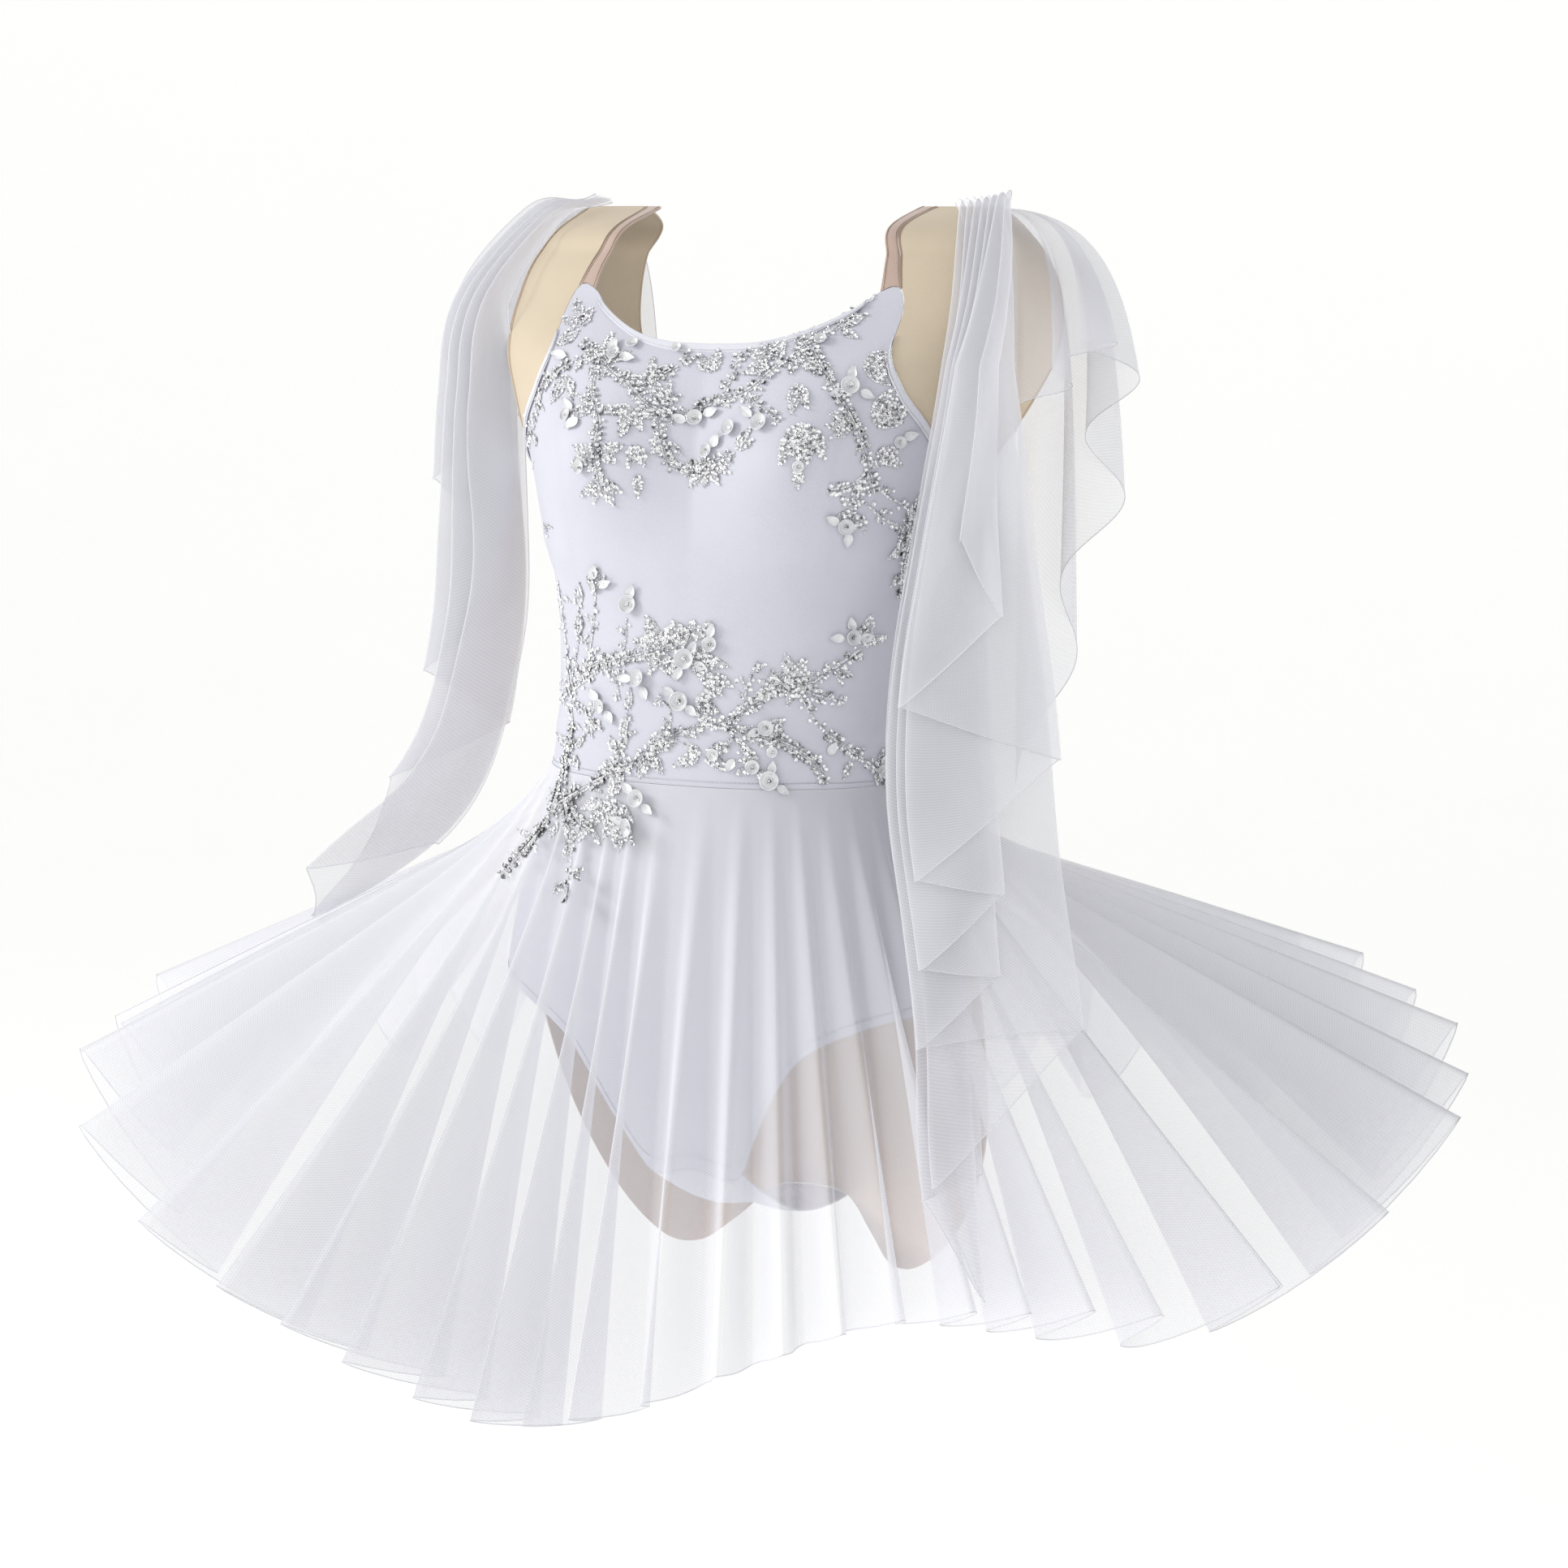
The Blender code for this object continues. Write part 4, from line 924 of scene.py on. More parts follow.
def drape_grid(hang, turns, stack_top, stack_low, turned):
    lengths, path, widths, tangents = hang_path(hang)
    turns = np.array(turns)
    columns = (len(turns) - 1) * STEPS_PER_TURN + 1
    share = np.linspace(0, 1, DRAPE_ROWS)
    grid = np.empty((DRAPE_ROWS, columns, 3))
    for column in range(columns):
        first, part = divmod(column, STEPS_PER_TURN)
        last = min(first + 1, len(turns) - 1)
        weight = {0: 0.0, 1: 0.0, 2: 0.5, 3: 1.0}[part]
        length = turns[first, 1] * (1 - weight) + turns[last, 1] * weight
        at = length * share
        even = np.minimum(1.0, at / EVEN_LENGTH)
        here = turns[first, 0] * even + (-1) ** first * (1 - even)
        after = turns[last, 0] * even + (-1) ** last * (1 - even)
        side = here * (1 - weight) + after * weight
        bend = {0: 0.0, 1: 1.0, 2: 0.0, 3: -1.0}[part] * (after - here) / 3
        layer = first + (0.0 if part == 0 else 0.5)
        spread = np.minimum(1.0, at / LAYER_SPREAD_LENGTH)
        pitch = LAYER_TOP + (PITCH_LOW - LAYER_TOP) * spread
        tangent = unit(lookup(lengths, tangents, at))
        stack = heading(stack_top + (stack_low - stack_top) * spread)
        stack[:, 2] = -LAYER_TOP_FALL * (1 - spread)
        stack -= tangent * ((stack * tangent).sum(axis=1) * (1 - spread))[:, None]
        stack = unit(stack)
        across = unit(np.cross(stack, tangent)) * turned
        width = lookup(lengths, widths, at)
        reach = width * side + np.copysign(np.minimum(pitch / 2, np.abs(width * bend)), bend)
        flutter = 0.0055 * np.sin(at * 19 + 2.6 * side) + 0.0022 * np.sin(at * 43 + 4.2 * side + 1.0)
        lift = pitch * layer + flutter * spread**2
        grid[:, column] = lookup(lengths, path, at) + across * reach[:, None] + stack * lift[:, None]
    for _ in range(2):
        grid = corner_cut(grid, 1)
    return grid


def flounce_grid(sign, rows=48, columns=241):
    share, t = np.meshgrid(np.linspace(0, 1, columns), np.linspace(0, 1, rows))
    fall = FLOUNCE_AT(share)
    turn = share * FLOUNCE_FOLDS
    at = fall[..., 3] * t
    open_up = 1 - np.exp(-at / FLOUNCE_OPENING_LENGTH)
    ripple = FLOUNCE_FOLD_DEPTH * np.sin(2 * math.pi * turn) * open_up * (0.6 + t)
    way = fall[..., 1] + FLOUNCE_SWING * np.cos(2 * math.pi * turn) * open_up
    radius = FLOUNCE_ROOT_RADIUS + (fall[..., 2] - FLOUNCE_ROOT_RADIUS) * open_up + ripple
    drop = np.maximum(0.0, at - FLOUNCE_TURN_OVER * open_up)
    grid = FLOUNCE_ROOT + heading(way) * radius[..., None]
    grid[..., 2] -= drop
    return grid * np.array([sign, 1, 1])


drapes = {
    "drape_front_left": drape_grid(LEFT_FRONT_HANG, LEFT_TURNS, -10.0, -55.0, 1),
    "drape_front_right": drape_grid(RIGHT_FRONT_HANG, RIGHT_TURNS, -170.0, -200.0, -1),
    "drape_back_left": flounce_grid(1),
    "drape_back_right": flounce_grid(-1),
}
for name, grid in drapes.items():
    finish_piece(sheet_mesh(f"{name}_mesh", grid), SHEER_MESH, [name])
    edge = tube(f"{name}_edge", [grid[-1], grid[:, 0], grid[:, -1]], DRAPE_EDGE_RADIUS)
    finish_piece(edge, HEM_THREAD)


# Where the photograph shows a place of the cloth
def camera_axes():
    a, e = math.radians(CAMERA_AZIMUTH), math.radians(CAMERA_ELEVATION)
    back_way = np.array([math.sin(a) * math.cos(e), -math.cos(a) * math.cos(e), math.sin(e)])
    right = np.array([math.cos(a), math.sin(a), 0.0])
    return CAMERA_TARGET + back_way * CAMERA_DISTANCE, right, np.cross(back_way, right), back_way


EYE, EYE_RIGHT, EYE_UP, EYE_BACK = camera_axes()
PIXELS_PER_UNIT = CAMERA_LENS / CAMERA_SENSOR * PHOTO_SIDE
GROUND_VERTICES, GROUND_FACES = [], []
for grid in (bodice_grid, skirt_grids["skirt_front"][:24]):
    GROUND_FACES += (grid_faces(*grid.shape[:2]) + sum(len(v) for v in GROUND_VERTICES)).tolist()
    GROUND_VERTICES.append(grid.reshape(-1, 3))
GROUND = BVHTree.FromPolygons([Vector(v) for v in np.concatenate(GROUND_VERTICES)], GROUND_FACES)


def on_cloth(place):
    """The point and the outward normal of the cloth at a place of the picture, or None beside it."""
    x = (place[0] - PHOTO_SIDE / 2) / PIXELS_PER_UNIT
    y = (PHOTO_SIDE / 2 - place[1]) / PIXELS_PER_UNIT
    way = Vector(unit(EYE_RIGHT * x + EYE_UP * y - EYE_BACK))
    point, normal, _, _ = GROUND.ray_cast(Vector(EYE), way)
    if point is None:
        return None
    normal = np.array(normal)
    if normal @ np.array(way) > 0:
        normal = -normal
    return np.array(point), normal


def round_line(points, step=1.5):
    """A smooth line through places of the picture, in even steps."""
    points = np.array(points, float)
    keys = lengths_along(points)
    line = curve(np.column_stack([keys, points]))(np.linspace(0, keys[-1], max(3, int(keys[-1] / step))))
    return line[:, 1:]


# Beadwork
random = np.random.default_rng(20)
BEAD_PLACES, SEQUIN_PLACES, CUP_PLACES, PATCHES, PETALS = [], [], [], [], []

# Stems and leaves, in metres
STEM_SPACING = 0.0018
STEM_BEAD = 0.00088
STEM_SEQUIN = (0.0011, 0.0016)
STEM_JUMP = 0.02
TWIST_OFFSET = 0.0010
ROW_OFFSET = 0.00025
LEAF_SEQUIN = (0.0010, 0.0014)
LEAF_BEAD = (0.00065, 0.0010)
LACE_LIFT = 0.00035
# In pixels of the photograph
BUD_LENGTHS = (11, 17)
FILL_STEP = 3.25
FILL_JITTER = 0.7
SPRAY_START = 4.5
PETAL_LENGTH = 20.0
WAIST_PETAL_LENGTH = 19.0
# Steps of a stem's line from bud to bud, and a bud's turn from the stem in degrees
BUD_GAP_DOUBLE, BUD_GAP = 15, 26
BUD_TURN = 48
# Shares and factors
STEM_SEQUINS_DOUBLE, STEM_SEQUINS = 0.26, 0.10
LEAF_SEQUINS = 0.45
LEAF_TILT = 0.16
SPRAY_GROWTH = 1.22
SPRAY_NARROWING = 0.98


def stem(points, double=False):
    """A stem sewn as a row of beads, or as two rows twisted together, with small leaves on both sides."""
    line = round_line(points)
    hits = [on_cloth(place) for place in line]
    data = np.array([np.concatenate(hit) for hit in hits if hit is not None])
    jumps = np.linalg.norm(np.diff(data[:, :3], axis=0), axis=1)
    data = data[: np.argmax(jumps > STEM_JUMP)] if (jumps > STEM_JUMP).any() else data
    data = resample(data, STEM_SPACING)
    ways = unit(np.gradient(data[:, :3], axis=0))
    for k, (row, way) in enumerate(zip(data, ways)):
        normal = unit(row[3:])
        side = np.cross(normal, way)
        offsets = (-TWIST_OFFSET, TWIST_OFFSET) if double else (ROW_OFFSET * (-1) ** k,)
        for offset in offsets:
            place = row[:3] + side * offset + normal * STEM_BEAD * 0.55
            BEAD_PLACES.append((place, normal, STEM_BEAD * random.uniform(0.85, 1.1)))
        if random.random() < (STEM_SEQUINS_DOUBLE if double else STEM_SEQUINS):
            away = side * random.uniform(0.0018, 0.0034) * random.choice([-1, 1])
            turned = unit(normal + random.normal(0, 0.2, 3))
            SEQUIN_PLACES.append((row[:3] + away + normal * 0.0008, turned, random.uniform(*STEM_SEQUIN)))
    gap = BUD_GAP_DOUBLE if double else BUD_GAP
    for k in range(12, len(line) - 8, gap):
        x, y = line[k] - line[k - 2]
        turn = math.radians(BUD_TURN if (k // gap) % 2 else -BUD_TURN)
        way = np.array([x * math.cos(turn) - y * math.sin(turn), x * math.sin(turn) + y * math.cos(turn)])
        way /= max(np.linalg.norm(way), 1e-9)
        leaf(line[k] + way * 2.0, line[k] + way * random.uniform(*BUD_LENGTHS), 0.38)


def leaf(base, tip, width):
    """A pointed leaf filled with beads and sequins, on a patch of lace."""
    base, tip = np.array(base, float), np.array(tip, float)
    along = tip - base
    length = np.linalg.norm(along)
    side = np.array([-along[1], along[0]])
    patch = []
    for u in np.linspace(0, 1, 7):
        half_width = width / 2 * math.sin(math.pi * u**0.8) + 0.02
        patch.append([on_cloth(base + along * u + side * half_width * v) for v in (-1, -0.33, 0.33, 1)])
    if all(hit is not None for row in patch for hit in row):
        PATCHES.append(patch)
    rows = max(2, int(length / (FILL_STEP * 0.87)))
    for row in range(rows + 1):
        u = row / rows
        half_width = width / 2 * length * math.sin(math.pi * min(1, u**0.8))
        count = max(1, int(2 * half_width / FILL_STEP) + 1)
        for k in range(count):
            v = 0 if count == 1 else -1 + 2 * k / (count - 1)
            place = base + along * u + side / length * (half_width * v * 0.92)
            hit = on_cloth(place + random.uniform(-FILL_JITTER, FILL_JITTER, 2))
            if hit is None:
                continue
            normal = unit(hit[1] + random.normal(0, LEAF_TILT, 3))
            if random.random() < LEAF_SEQUINS:
                SEQUIN_PLACES.append((hit[0] + hit[1] * 0.0009, normal, random.uniform(*LEAF_SEQUIN)))
            else:
                BEAD_PLACES.append((hit[0] + hit[1] * 0.0007, normal, random.uniform(*LEAF_BEAD)))


def spray(centre, angles, length, width):
    """Leaves that spread from one place. Angles are in degrees, 0 to the right and 90 up."""
    for k, angle in enumerate(angles):
        radians = math.radians(angle)
        size = length * SPRAY_GROWTH * (1.0 + 0.18 * math.sin(2.3 * k + angle))
        way = np.array([math.cos(radians), -math.sin(radians)])
        leaf(np.array(centre) + way * SPRAY_START, np.array(centre) + way * size, width * SPRAY_NARROWING)


def cup(place, size):
    """A cupped round sequin, held by a bead in its middle."""
    hit = on_cloth(place)
    if hit is not None:
        normal = unit(hit[1] + random.normal(0, 0.10, 3))
        CUP_PLACES.append((hit[0] + hit[1] * 0.0016, normal, size))
        SEQUIN_PLACES.append((hit[0] + hit[1] * 0.0022, normal, size * 0.30))
        BEAD_PLACES.append((hit[0] + hit[1] * 0.0028, normal, size * 0.17))


def petal(base, angle, length, width=0.55):
    """A white petal, a little cupped, that stands off the cloth."""
    base, radians = np.array(base, float), math.radians(angle)
    along = np.array([math.cos(radians), -math.sin(radians)]) * length
    side = np.array([-along[1], along[0]])
    grid = []
    for u in np.linspace(0, 1, 8):
        half_width = width / 2 * math.sin(math.pi * min(1, u**0.75)) + 0.015
        row = []
        for v in np.linspace(-1, 1, 6):
            hit = on_cloth(base + along * u + side * half_width * v)
            if hit is None:
                return
            row.append(hit[0] + hit[1] * (0.0008 + 0.0012 * v * v + 0.0010 * u * u))
        grid.append(row)
    PETALS.append(np.array(grid))


def sew(stems, sprays, cups=(), petals=(), petal_length=PETAL_LENGTH):
    """One stretch of the beadwork: the stems, then the leaves, the cups and the petals."""
    for rows, *line in stems:
        stem(np.reshape(line, (-1, 2)), rows == 2)
    for x, y, length, width, *angles in sprays:
        spray((x, y), angles, length, width)
    for x, y, size in cups:
        cup((x, y), size)
    for x, y, angle in petals:
        petal((x, y), angle, petal_length)


# Places in the beadwork are pixels of the photograph, x to the right and y down.
# A stem is its number of bead rows, then x and y of its places.
# A spray is x, y, the length and width of its leaves, and their angles.
BUST_SIDE_STEMS = [
    (1, 735, 440, 700, 450, 675, 470, 662, 505, 652, 545, 648, 590, 658, 630, 676, 662),
]
BUST_SIDE_SPRAYS = [
    (668, 480, 17, 0.36, 60, 250), (655, 530, 17, 0.36, 110, 290), (650, 590, 17, 0.36, 70, 250),
    (664, 640, 17, 0.36, 130, 300),
]
BUST_STEMS = [
    (2, 716, 420, 738, 440, 758, 462, 800, 468, 838, 452),
    (2, 738, 440, 730, 480, 738, 520, 733, 560, 738, 590),
    (2, 770, 470, 800, 500, 835, 510, 880, 495, 920, 482, 952, 456, 990, 430, 1030, 405, 1062, 372),
    (1, 905, 488, 935, 500, 960, 520),
    (1, 880, 497, 900, 470, 912, 432),
    (2, 810, 505, 815, 545, 828, 575, 868, 572, 905, 560),
    (2, 1000, 430, 1022, 470, 1040, 500, 1060, 540, 1070, 575, 1076, 610),
    (1, 1070, 580, 1048, 598, 1020, 604),
    (1, 1074, 590, 1092, 610, 1112, 622, 1128, 636),
    (1, 1066, 620, 1090, 640, 1110, 650, 1116, 675),
    (2, 1126, 620, 1122, 655, 1114, 690, 1110, 735),
]
BUST_SPRAYS = [
    (716, 405, 26, 0.40, 60, 100, 150, 215), (745, 445, 24, 0.42, 20, 75, 130),
    (700, 460, 30, 0.34, 240, 280), (735, 500, 26, 0.42, 150, 200, 340),
    (736, 560, 24, 0.50, 160, 200, 340, 20), (738, 590, 30, 0.40, 225, 260, 300, 330),
    (778, 500, 30, 0.44, 200, 250, 290, 330), (785, 545, 32, 0.50, 250, 285), (786, 580, 26, 0.40, 270),
    (815, 500, 26, 0.48, 30, 70, 110, 300), (822, 545, 22, 0.44, 180, 215, 320),
    (868, 570, 30, 0.44, 200, 240, 270, 305, 340), (905, 556, 26, 0.30, 30, 55),
    (875, 462, 24, 0.55, 70, 120), (800, 470, 22, 0.45, 40, 80), (838, 452, 20, 0.40, 30, 60),
    (950, 448, 32, 0.46, 60, 100, 150, 200), (985, 430, 30, 0.46, 50, 90, 300, 250),
    (1030, 402, 28, 0.42, 20, 60, 110, 330), (1060, 374, 24, 0.40, 30, 65, 100),
    (982, 470, 30, 0.42, 260, 290), (990, 520, 42, 0.46, 240, 270, 300), (985, 570, 22, 0.50, 265),
    (1062, 446, 44, 0.42, 10, 350, 320), (1050, 525, 30, 0.46, 180, 210, 150),
    (1072, 520, 40, 0.46, 20, 50, 0), (1076, 560, 30, 0.44, 10, 340),
    (1056, 630, 26, 0.44, 90, 140, 200, 250, 290), (1126, 628, 24, 0.40, 60, 300, 240),
    (1116, 670, 20, 0.40, 40, 220, 320), (1112, 705, 18, 0.40, 50, 230),
]
# A cup is x, y and its radius in metres, and a petal x, y and its angle
BUST_CUPS = [
    (758, 437, 0.0046), (700, 512, 0.0044), (716, 575, 0.0044), (857, 516, 0.0052), (937, 522, 0.0056),
    (872, 556, 0.0044), (900, 528, 0.0050), (1048, 476, 0.0058), (1042, 648, 0.0050), (1012, 420, 0.0040),
    (780, 425, 0.0040), (835, 430, 0.0034), (1108, 545, 0.0038), (984, 575, 0.0036), (990, 405, 0.0036),
]
BUST_PETALS = [
    (752, 436, 60), (764, 440, 350), (706, 508, 120), (714, 516, 220), (846, 520, 160), (868, 512, 20),
    (878, 552, 60), (1048, 470, 75), (1040, 482, 200), (1060, 482, 330), (1034, 645, 150),
    (1046, 656, 260), (700, 440, 170), (724, 566, 210), (928, 515, 140), (1016, 412, 60), (1112, 540, 20),
    (786, 418, 100),
]
WAIST_STEMS = [
    (1, 688, 715, 694, 760, 700, 810, 702, 850, 706, 890, 702, 930, 694, 970),
    (2, 706, 890, 700, 925, 690, 965, 680, 1000, 662, 1030, 640, 1055, 618, 1078),
    (1, 694, 975, 700, 1010, 704, 1045, 702, 1080, 698, 1112),
    (1, 702, 850, 712, 800, 714, 745),
    (1, 704, 860, 722, 820, 732, 770, 734, 730),
    (1, 706, 850, 740, 825, 768, 800, 772, 762),
    (2, 712, 830, 740, 815, 778, 810, 815, 800),
    (1, 740, 815, 756, 830, 764, 862),
    (1, 704, 860, 722, 880, 742, 900),
    (2, 690, 990, 715, 975, 750, 955, 785, 935, 815, 915, 850, 898, 890, 890, 930, 868, 962, 846,
     1000, 842),
    (1, 1000, 842, 1030, 822, 1060, 800),
    (1, 1000, 855, 1040, 866),
    (1, 915, 880, 920, 850, 934, 812),
    (1, 920, 850, 912, 832),
    (1, 812, 915, 826, 890, 822, 868, 808, 862),
    (2, 895, 895, 930, 908, 962, 915, 990, 930, 1010, 948, 1018, 966),
    (1, 895, 895, 915, 925, 935, 945),
    (1, 985, 855, 1010, 895, 1040, 920, 1070, 940, 1090, 960),
    (2, 760, 950, 768, 915, 774, 880),
    (1, 700, 985, 712, 1010, 728, 1022),
]
WAIST_SPRAYS = [
    (734, 728, 20, 0.55, 90, 60, 120), (714, 752, 24, 0.34, 90, 270), (688, 850, 20, 0.40, 80, 20, 300),
    (812, 800, 30, 0.48, 20, 60, 110, 160, 300, 250), (852, 812, 34, 0.44, 30, 350, 310),
    (850, 790, 26, 0.44, 80, 130, 40), (874, 830, 30, 0.44, 300, 330, 270),
    (856, 862, 30, 0.46, 330, 300, 20), (772, 880, 32, 0.34, 80, 260), (760, 930, 24, 0.40, 60, 110, 230),
    (800, 925, 26, 0.44, 60, 250, 300, 20), (722, 885, 22, 0.42, 60, 330, 290),
    (705, 925, 22, 0.40, 50, 130, 290), (866, 930, 26, 0.44, 150, 200, 330, 20),
    (980, 842, 27, 0.46, 30, 70, 110, 160, 200, 250, 300, 340), (955, 850, 22, 0.44, 150, 200, 100),
    (1060, 795, 28, 0.46, 70, 20, 120), (1030, 822, 20, 0.40, 330, 290),
    (940, 897, 24, 0.46, 340, 20, 300), (932, 945, 24, 0.44, 120, 160, 200, 300),
    (1078, 940, 30, 0.38, 10, 330, 300, 40), (748, 985, 34, 0.44, 200, 240, 280, 320, 60),
    (762, 1010, 28, 0.44, 230, 270, 300), (700, 985, 24, 0.40, 150, 220), (690, 1010, 22, 0.36, 120, 240),
    (660, 1035, 24, 0.36, 150, 230, 60), (704, 1040, 20, 0.38, 40, 240), (700, 1085, 18, 0.38, 40, 220),
    (728, 1020, 22, 0.36, 300), (1048, 935, 26, 0.30, 250),
]
WAIST_CUPS = [
    (734, 722, 0.0036), (776, 745, 0.0058), (845, 812, 0.0064), (788, 836, 0.0054), (838, 864, 0.0060),
    (742, 870, 0.0046), (948, 962, 0.0060), (786, 984, 0.0056), (776, 1020, 0.0058), (876, 794, 0.0048),
    (1050, 785, 0.0048), (944, 897, 0.0048), (928, 945, 0.0044), (952, 927, 0.0034), (880, 930, 0.0040),
    (1085, 950, 0.0040),
]
WAIST_PETALS = [
    (732, 714, 80), (738, 722, 20), (776, 738, 70), (850, 806, 60), (856, 818, 340), (840, 822, 250),
    (780, 836, 180), (792, 846, 290), (832, 858, 140), (846, 870, 320), (738, 864, 120), (748, 876, 300),
    (950, 955, 80), (940, 968, 230), (958, 968, 320), (780, 978, 130), (792, 992, 320), (770, 1014, 160),
    (1050, 778, 100), (1058, 788, 20), (1040, 786, 180), (874, 786, 70), (1085, 944, 60), (938, 900, 200),
    (1020, 930, 60), (905, 935, 240),
]

sew(BUST_SIDE_STEMS, BUST_SIDE_SPRAYS)
sew(BUST_STEMS, BUST_SPRAYS, BUST_CUPS, BUST_PETALS)
bead_count, sequin_count, cup_count, patch_count, petal_count = [
    len(places) for places in (BEAD_PLACES, SEQUIN_PLACES, CUP_PLACES, PATCHES, PETALS)
]
sew(WAIST_STEMS, WAIST_SPRAYS, WAIST_CUPS, WAIST_PETALS, WAIST_PETAL_LENGTH)


def frames(places):
    points = np.array([p for p, _, _ in places])
    normals = unit(np.array([n for _, n, _ in places]))
    sizes = np.array([s for _, _, s in places])
    turn = random.uniform(0, 2 * math.pi, len(places))
    side = unit(np.cross(normals, np.where(np.abs(normals[:, 2:3]) < 0.9, [[0, 0, 1.0]], [[1.0, 0, 0]])))
    other = np.cross(normals, side)
    first = side * np.cos(turn)[:, None] + other * np.sin(turn)[:, None]
    return points, np.stack([first, np.cross(normals, first), normals], axis=2), sizes


def scatter(name, places, vertices, faces, material):
    """Many small things as one mesh, each turned to the cloth's normal."""
    vertices = np.array(vertices, float)
    points, axes, sizes = frames(places)
    moved = np.einsum("nij,vj->nvi", axes, vertices) * sizes[:, None, None] + points[:, None]
    all_faces = [tuple(c + k * len(vertices) for c in face) for k in range(len(places)) for face in faces]
    obj = make_mesh(name, moved.reshape(-1, 3), all_faces, smooth=False)
    return finish_piece(obj, material)


def lathe(profile, sides):
    """A turned shape from (radius, height) pairs, the middle first."""
    turns = [2 * math.pi * k / sides for k in range(sides)]
    vertices = [(r * math.cos(turn), r * math.sin(turn), height) for r, height in profile for turn in turns]
    faces = [(a, d, c, b) for a, b, c, d in ring_faces(len(profile), sides)]
    return vertices, faces + [tuple(range(sides))]


BEAD_CORNERS = [(1.05, 0, 0), (0, 1.05, 0), (-1.05, 0, 0), (0, -1.05, 0), (0, 0, 0.9), (0, 0, -0.9)]
BEAD_FACES = [(0, 1, 4), (1, 2, 4), (2, 3, 4), (3, 0, 4), (1, 0, 5), (2, 1, 5), (3, 2, 5), (0, 3, 5)]
BEAD_SHAPE = (BEAD_CORNERS, BEAD_FACES)
SEQUIN_SHAPE = lathe([(0.45, -0.02), (1.0, 0.30)], 7)
CUP_SHAPE = lathe([(0.16, -0.12), (0.40, -0.06), (0.72, 0.08), (0.96, 0.30), (1.0, 0.36), (0.93, 0.40)], 22)
for part, cuts in (
    ("bust", (slice(bead_count), slice(sequin_count), slice(cup_count))),
    ("waist", (slice(bead_count, None), slice(sequin_count, None), slice(cup_count, None))),
):
    scatter(f"{part}_beads", BEAD_PLACES[cuts[0]], *BEAD_SHAPE, SILVER)
    scatter(f"{part}_sequins", SEQUIN_PLACES[cuts[1]], *SEQUIN_SHAPE, SILVER)
    scatter(f"{part}_cups", CUP_PLACES[cuts[2]], *CUP_SHAPE, PEARL)


def lace_patches(name, patches):
    """The lace ground under the leaves."""
    vertices, faces = [], []
    for patch in patches:
        rows, columns = len(patch), len(patch[0])
        faces += grid_faces(rows, columns, len(vertices)).tolist()
        vertices += [point + normal * LACE_LIFT for row in patch for point, normal in row]
    finish_piece(make_mesh(name, vertices, faces), LACE)


lace_patches("bust_lace", PATCHES[:patch_count])
lace_patches("waist_lace", PATCHES[patch_count:])
for name, grids in (("bust_petals", PETALS[:petal_count]), ("waist_petals", PETALS[petal_count:])):
    vertices, faces = [], []
    for grid in grids:
        faces += grid_faces(*grid.shape[:2], sum(len(v) for v in vertices)).tolist()
        vertices.append(grid.reshape(-1, 3))
    finish_piece(make_mesh(name, np.concatenate(vertices), faces), PEARL)

# Sewing
THREAD_LIFT = 0.00015


def stitch_row(grid, normals, where):
    """One row or column of a grid, lifted off the cloth."""
    return grid[where] + normals[where] * THREAD_LIFT, normals[where]


white_rows = list(band_lines)
white_rows.append(stitch_row(bodice_grid, bodice_normals, 1))
white_rows.append(stitch_row(brief_grid, brief_normals, -3))
finish_piece(stitches("white_stitches", white_rows), WHITE_THREAD)
nude_rows = [*shoulder_lines, stitch_row(seat_grid, seat_normals, -3)]
for grid, normals in ((bodice_grid, bodice_normals), (brief_grid, brief_normals)):
    for column in (1, -2):
        nude_rows.append(stitch_row(grid, normals, np.s_[:, column]))
finish_piece(stitches("nude_stitches", nude_rows), NUDE_THREAD)


# The area of each sheet
def mesh_area(obj):
    return sum(p.area for p in obj.data.polygons)


# The share of its flat rectangle that a piece covers
SKIRT_COVER = 0.78
for name in skirt_grids:
    obj = bpy.data.objects[f"{name}_mesh"]
    area = mesh_area(obj)
    side = math.sqrt(area / SKIRT_COVER)
DRAPE_LENGTHS = {
    "drape_front_left": 0.70,
    "drape_front_right": 0.56,
    "drape_back_left": 0.42,
    "drape_back_right": 0.42,
}
for name, length in DRAPE_LENGTHS.items():
    obj = bpy.data.objects[f"{name}_mesh"]
    area = mesh_area(obj)

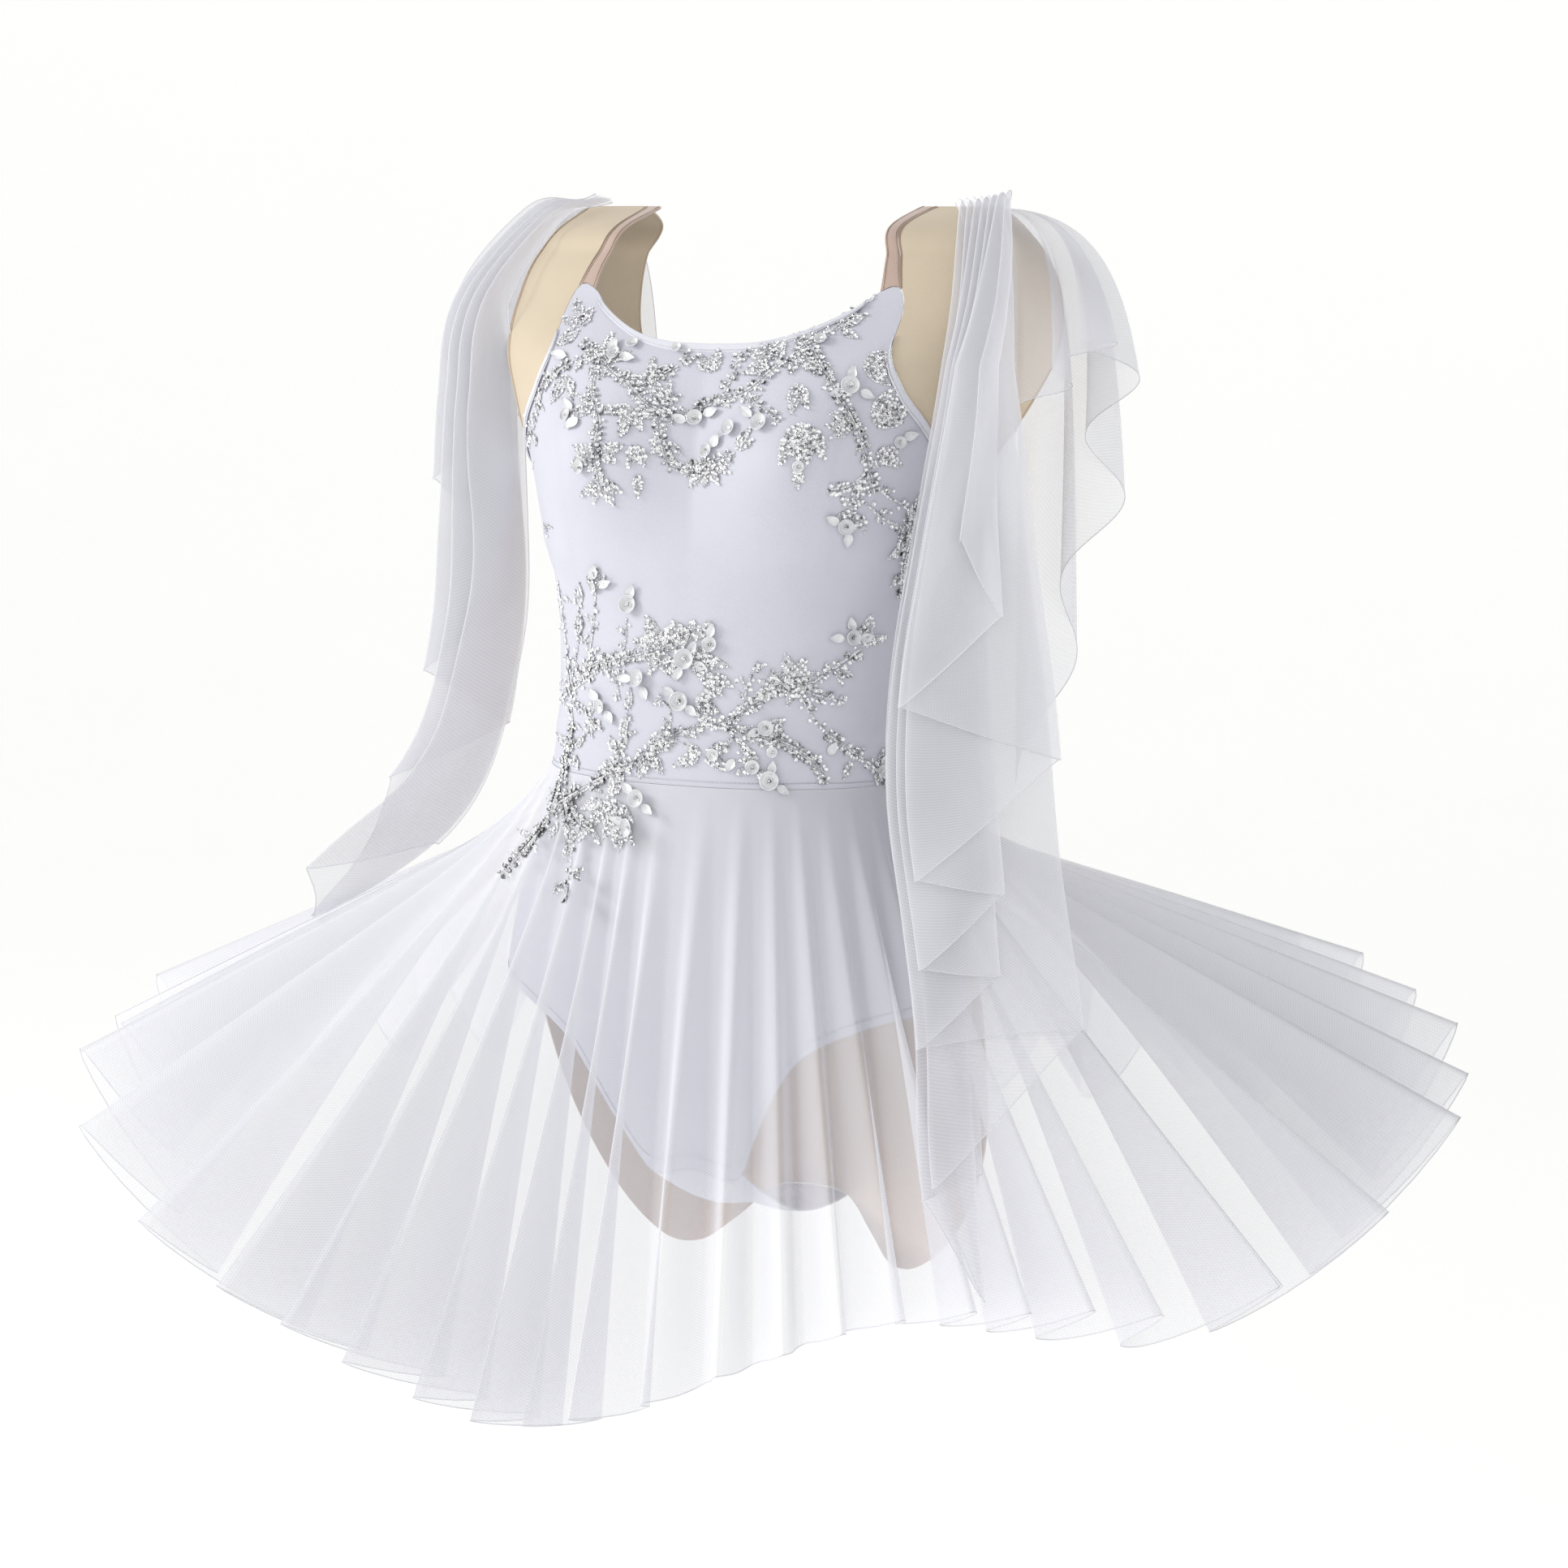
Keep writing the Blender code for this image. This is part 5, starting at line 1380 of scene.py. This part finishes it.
# Stage, light and camera
FLOOR_Z = -1.38
FLOOR_RADIUS = 4.5
BEND = 2.5
WALL_TOP = 5.5
PAPER_COLOUR = (0.90, 0.90, 0.888)
PAPER_GLOW = 0.32
AIR_COLOUR = (0.97, 0.98, 1.0, 1.0)
AIR_STRENGTH = 0.52
LIGHT_TARGET = (0, -0.05, -0.35)
profile = [(0.0, FLOOR_Z), (FLOOR_RADIUS, FLOOR_Z)]
for t in np.linspace(0.1, math.pi / 2, 12):
    profile.append((FLOOR_RADIUS + BEND * math.sin(t), FLOOR_Z + BEND * (1 - math.cos(t))))
profile.append((FLOOR_RADIUS + BEND, WALL_TOP))
turns = np.arange(64) * math.pi / 32
vertices = [(r * math.cos(turn), r * math.sin(turn), height) for r, height in profile for turn in turns]
floor = make_mesh("studio_floor", vertices, ring_faces(len(profile), 64))
floor.data.materials.append(plain_stage("studio_paper", PAPER_COLOUR, PAPER_GLOW))

world = bpy.data.worlds.new("studio_air")
bpy.context.scene.world = world
world.use_nodes = True
air = world.node_tree.nodes["Background"]
air.inputs["Color"].default_value = AIR_COLOUR
air.inputs["Strength"].default_value = AIR_STRENGTH


def area_light(name, place, size, power, colour):
    data = bpy.data.lights.new(name, "AREA")
    data.size, data.energy, data.color = size, power, colour
    lamp = bpy.data.objects.new(name, data)
    lamp.location = place
    lamp.rotation_mode = "QUATERNION"
    lamp.rotation_quaternion = (Vector(LIGHT_TARGET) - Vector(place)).to_track_quat("-Z", "Y")
    bpy.context.scene.collection.objects.link(lamp)


area_light("key_softbox", (-3.0, -1.5, 1.2), 1.2, 64.0, (1.0, 0.995, 0.985))
area_light("fill_softbox", (2.6, -1.8, 0.2), 2.4, 4.5, (0.93, 0.95, 1.0))

camera_data = bpy.data.cameras.new("photo_camera")
camera_data.lens, camera_data.sensor_width = CAMERA_LENS, CAMERA_SENSOR
camera = bpy.data.objects.new("photo_camera", camera_data)
camera.location = EYE
camera.rotation_mode = "QUATERNION"
camera.rotation_quaternion = (-Vector(EYE_BACK)).to_track_quat("-Z", "Y")
bpy.context.scene.collection.objects.link(camera)
bpy.context.scene.camera = camera
bpy.context.scene.view_settings.view_transform = "Standard"
cycles = bpy.context.scene.cycles
cycles.transparent_max_bounces = 24
cycles.max_bounces = 4
cycles.diffuse_bounces = 2
cycles.glossy_bounces = 2
